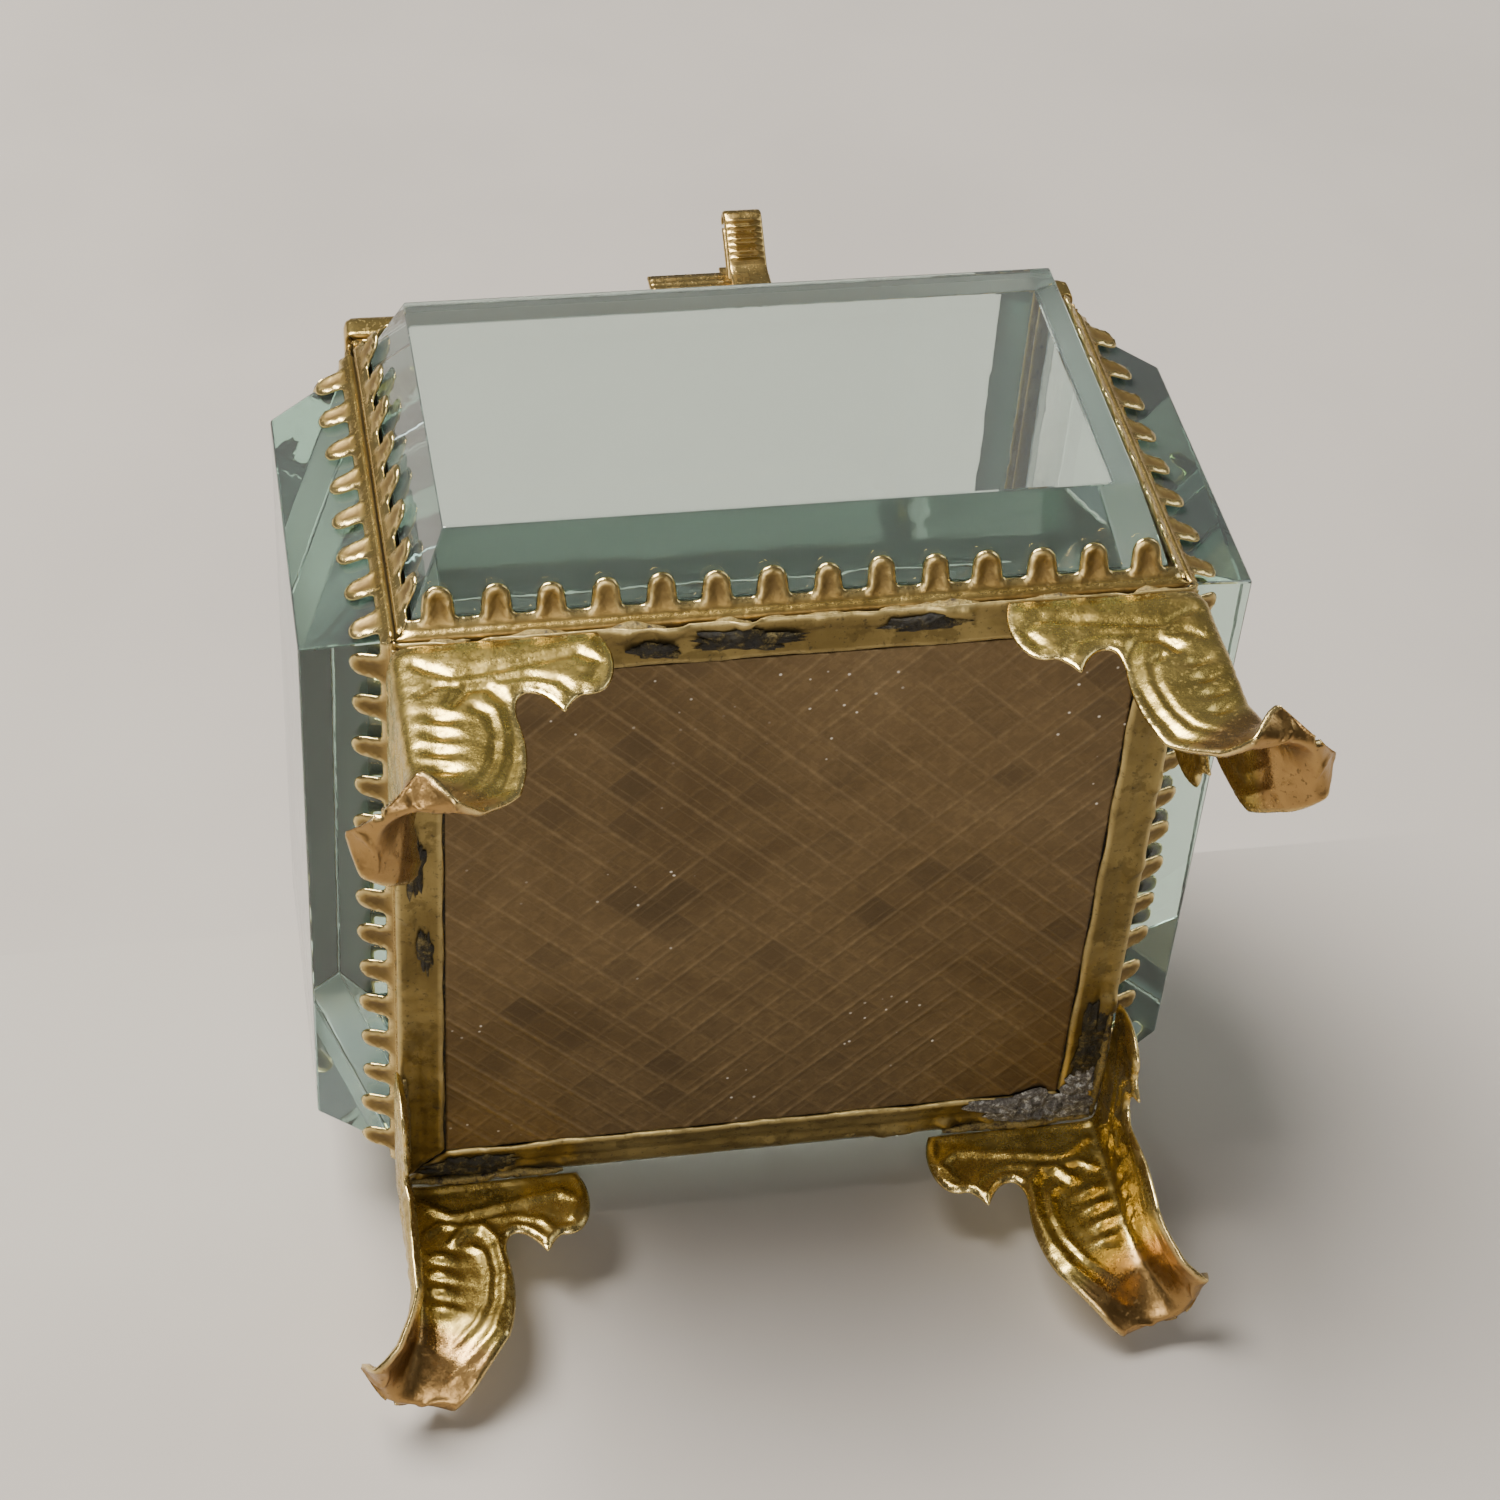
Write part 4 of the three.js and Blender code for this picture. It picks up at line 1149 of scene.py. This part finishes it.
def add_catch():
    low, high = span("catch_plate")
    front = -HALF - GAP - THUMB_OFFSET
    tilt = math.radians(THUMB_TILT)
    along = np.array((0, -math.cos(tilt), math.sin(tilt)))
    ribbed = np.array((0, -math.sin(tilt), -math.cos(tilt)))
    root = np.array((THUMB_X, front, LID_TOP + THUMB_OFFSET))

    def on_thumb(x, u, v):
        return root + X * x + along * u + ribbed * v

    def to_plane(height):
        from_root = np.array((THUMB_X, tab_y, height)) - root
        return float(from_root @ along), float(from_root @ ribbed)

    middle = OPENING / 2 + CATCH_SHEET / 2
    bend = THUMB_LENGTH - OPENING / 2 - CATCH_SHEET
    tab_y = front - THUMB_OFFSET - CATCH_SHEET / 2
    tab_low = to_plane(span("catch_thumb")[0].z)
    start = (0.9, middle)
    tab_high = to_plane(LID_TOP - 0.35)
    leg = resample([tab_low, tab_high], 0.2)[:-1].tolist()
    leg += bezier(tab_high, (0.35, middle + 0.12), start, 6)
    leg += resample([start, (bend, middle)], 0.1)[1:].tolist()
    leg += arc((bend, 0.0), middle, 90, -90, 14)[1:]
    leg = np.array([tuple(p) for p in leg])
    travelled = np.concatenate([[0], np.cumsum(np.linalg.norm(np.diff(leg, axis=0), axis=1))])
    first = travelled[np.argmin(np.abs(leg[:, 0] - 1.2) + np.abs(leg[:, 1] - middle))]
    last = travelled[np.argmin(np.abs(leg[:, 0] - bend) + np.abs(leg[:, 1] - middle))]

    def ribs(k, x):
        share = (travelled[k] - first) / (last - first)
        if not 0 <= share <= 1:
            return 0.0
        side = float(smoothstep(THUMB_WIDTH * 0.42, THUMB_WIDTH * 0.3, abs(x)))
        return 0.2 * side * (0.5 - 0.5 * math.cos(2 * math.pi * share * RIBS))

    points, faces = ribbon(leg, THUMB_WIDTH, CATCH_SHEET, on_thumb, ribs)
    piece("catch_thumb_spring", points, faces, CATCH, "catch", ["catch_thumb"], "catch_brass", sharp=45)

    shelf = LID_TOP + CATCH_RISE
    step = THUMB_X - THUMB_WIDTH / 2 - THUMB_MARGIN
    top = LID_TOP + THUMB_RISE
    edge = [(low.x, low.z), (high.x, low.z), (high.x, top), (step, top), (step, shelf), (low.x, shelf)]
    edge = resample(edge, 0.3, closed=True)

    def place(flat):
        where = np.stack([flat[:, 0], np.full(len(flat), front), flat[:, 1]], -1)
        return where, np.tile(-Y, (len(flat), 1))

    def relief(flat, depth):
        wave = 0.07 * np.cos((shelf - flat[:, 1]) * 2 * math.pi / LINE_PITCH)
        end = shelf - LINES * LINE_PITCH
        lined = smoothstep(end, end + 0.3, flat[:, 1]) * (flat[:, 1] < shelf)
        return wave * lined - 0.07

    plate = stamped(edge, 0.2, place, relief, 0.42, edge=0.08)[:2]
    fixed = resample([(-0.4, -middle), (bend - GAP, -middle)], 0.4)
    points, faces = joined([plate, ribbon(fixed, THUMB_WIDTH, CATCH_SHEET, on_thumb)])
    piece("catch_plate_brass", points, faces, CATCH, "lid", ["catch_plate"], "catch_brass")


# ---- stage, light and camera ----


def stage_material(name, colour):
    """Pale and plain, seen from its front only."""
    r = Recipe(name)
    tone = r.noise(0.02, detail=4)
    tint = r.mix(r.rise(tone, 0.4, 0.7), colour, tuple(c * 0.93 for c in colour))
    r.finish(Base_Color=tint, Roughness=0.75)
    clear = r.node("ShaderNodeBsdfTransparent")
    blend = r.node("ShaderNodeMixShader")
    side = r.node("ShaderNodeNewGeometry")
    r.link(blend.inputs[0], side.outputs["Backfacing"])
    r.link(blend.inputs[1], r.shader.outputs[0])
    r.link(blend.inputs[2], clear.outputs[0])
    r.link(r.output.inputs["Surface"], blend.outputs[0])
    return r.material


def add_sheet_of_stage(name, corners, material):
    mesh = bpy.data.meshes.new(name)
    mesh.from_pydata([Vector(c) * MM for c in corners], [], [(0, 1, 2, 3)])
    mesh.materials.append(material)
    obj = placed(name, mesh)
    obj.visible_shadow = False
    return obj


def add_stage():
    """The bench that the casket lies on its back on, a lower one under the swing of the lid, and a floor."""
    pale = stage_material("pale_bench", (0.36, 0.332, 0.302))
    back = span("glass_back")[1].y + 0.15
    reach = 900.0
    edge = LID_BOTTOM - 0.8
    for name, y, low, high in (("bench", back, -reach, edge), ("lower_bench", back + 16, edge - 30, reach)):
        corners = [(-reach, y, low), (reach, y, low), (reach, y, high), (-reach, y, high)]
        add_sheet_of_stage(name, corners, pale)
    corners = [(-reach, -reach, 0), (reach, -reach, 0), (reach, reach, 0), (-reach, reach, 0)]
    floor = add_sheet_of_stage("floor", corners, pale)
    floor.visible_diffuse = False
    floor.visible_glossy = False


LIGHT_TARGET = Vector((0, 0, 30))


def add_light(name, place, size, power, colour):
    """A soft panel of light, aimed at the middle of the casket."""
    light = bpy.data.lights.new(name, "AREA")
    light.shape = "RECTANGLE"
    light.size, light.size_y = size[0] * MM, size[1] * MM
    light.energy = power
    light.color = colour
    obj = placed(name, light)
    obj.location = Vector(place) * MM
    obj.rotation_euler = (LIGHT_TARGET - Vector(place)).to_track_quat("-Z", "Y").to_euler()


def add_lights():
    add_light("key", (-340, -800, 210), (470, 470), 25.0, (1.0, 0.965, 0.91))
    add_light("fill", (420, -300, 60), (260, 260), 0.5, (0.92, 0.96, 1.0))
    add_light("rear", (160, 520, 420), (320, 240), 4.0, (0.96, 0.98, 1.0))
    add_light("under", (-60, -260, -440), (200, 200), 1.2, (1.0, 0.95, 0.88))
    world = bpy.data.worlds.new("studio")
    bpy.context.scene.world = world
    world.use_nodes = True
    tree = world.node_tree
    sky = tree.nodes.new("ShaderNodeTexCoord")
    split = tree.nodes.new("ShaderNodeSeparateXYZ")
    ramp = tree.nodes.new("ShaderNodeValToRGB")
    shift = tree.nodes.new("ShaderNodeMapRange")
    shift.inputs["From Min"].default_value = -1
    tree.links.new(sky.outputs["Generated"], split.inputs[0])
    tree.links.new(split.outputs["Z"], shift.inputs["Value"])
    tree.links.new(shift.outputs["Result"], ramp.inputs[0])
    ramp.color_ramp.elements[0].position = 0.2
    ramp.color_ramp.elements[0].color = (0.10, 0.09, 0.08, 1)
    ramp.color_ramp.elements[1].position = 0.75
    ramp.color_ramp.elements[1].color = (0.60, 0.61, 0.62, 1)
    back = tree.nodes["Background"]
    tree.links.new(ramp.outputs[0], back.inputs["Color"])
    back.inputs["Strength"].default_value = 0.28


CAMERA_PLACE = Vector((-37.44, -153.95, -128.09))
CAMERA_TURN = (136.151, 10.167, -3.555)  # degrees about X, Y and Z
CAMERA_LENS = 78.86


def add_camera():
    camera = bpy.data.cameras.new("photo_view")
    camera.lens = CAMERA_LENS
    camera.sensor_width = 36
    camera.clip_start = 0.005
    obj = placed("photo_view", camera)
    obj.location = CAMERA_PLACE * MM
    obj.rotation_euler = [math.radians(angle) for angle in CAMERA_TURN]
    bpy.context.scene.camera = obj


add_camera()
add_base()
add_walls()
add_lid()
add_feet()
add_hinge()
add_catch()
add_stage()
add_lights()

bpy.context.view_layer.update()
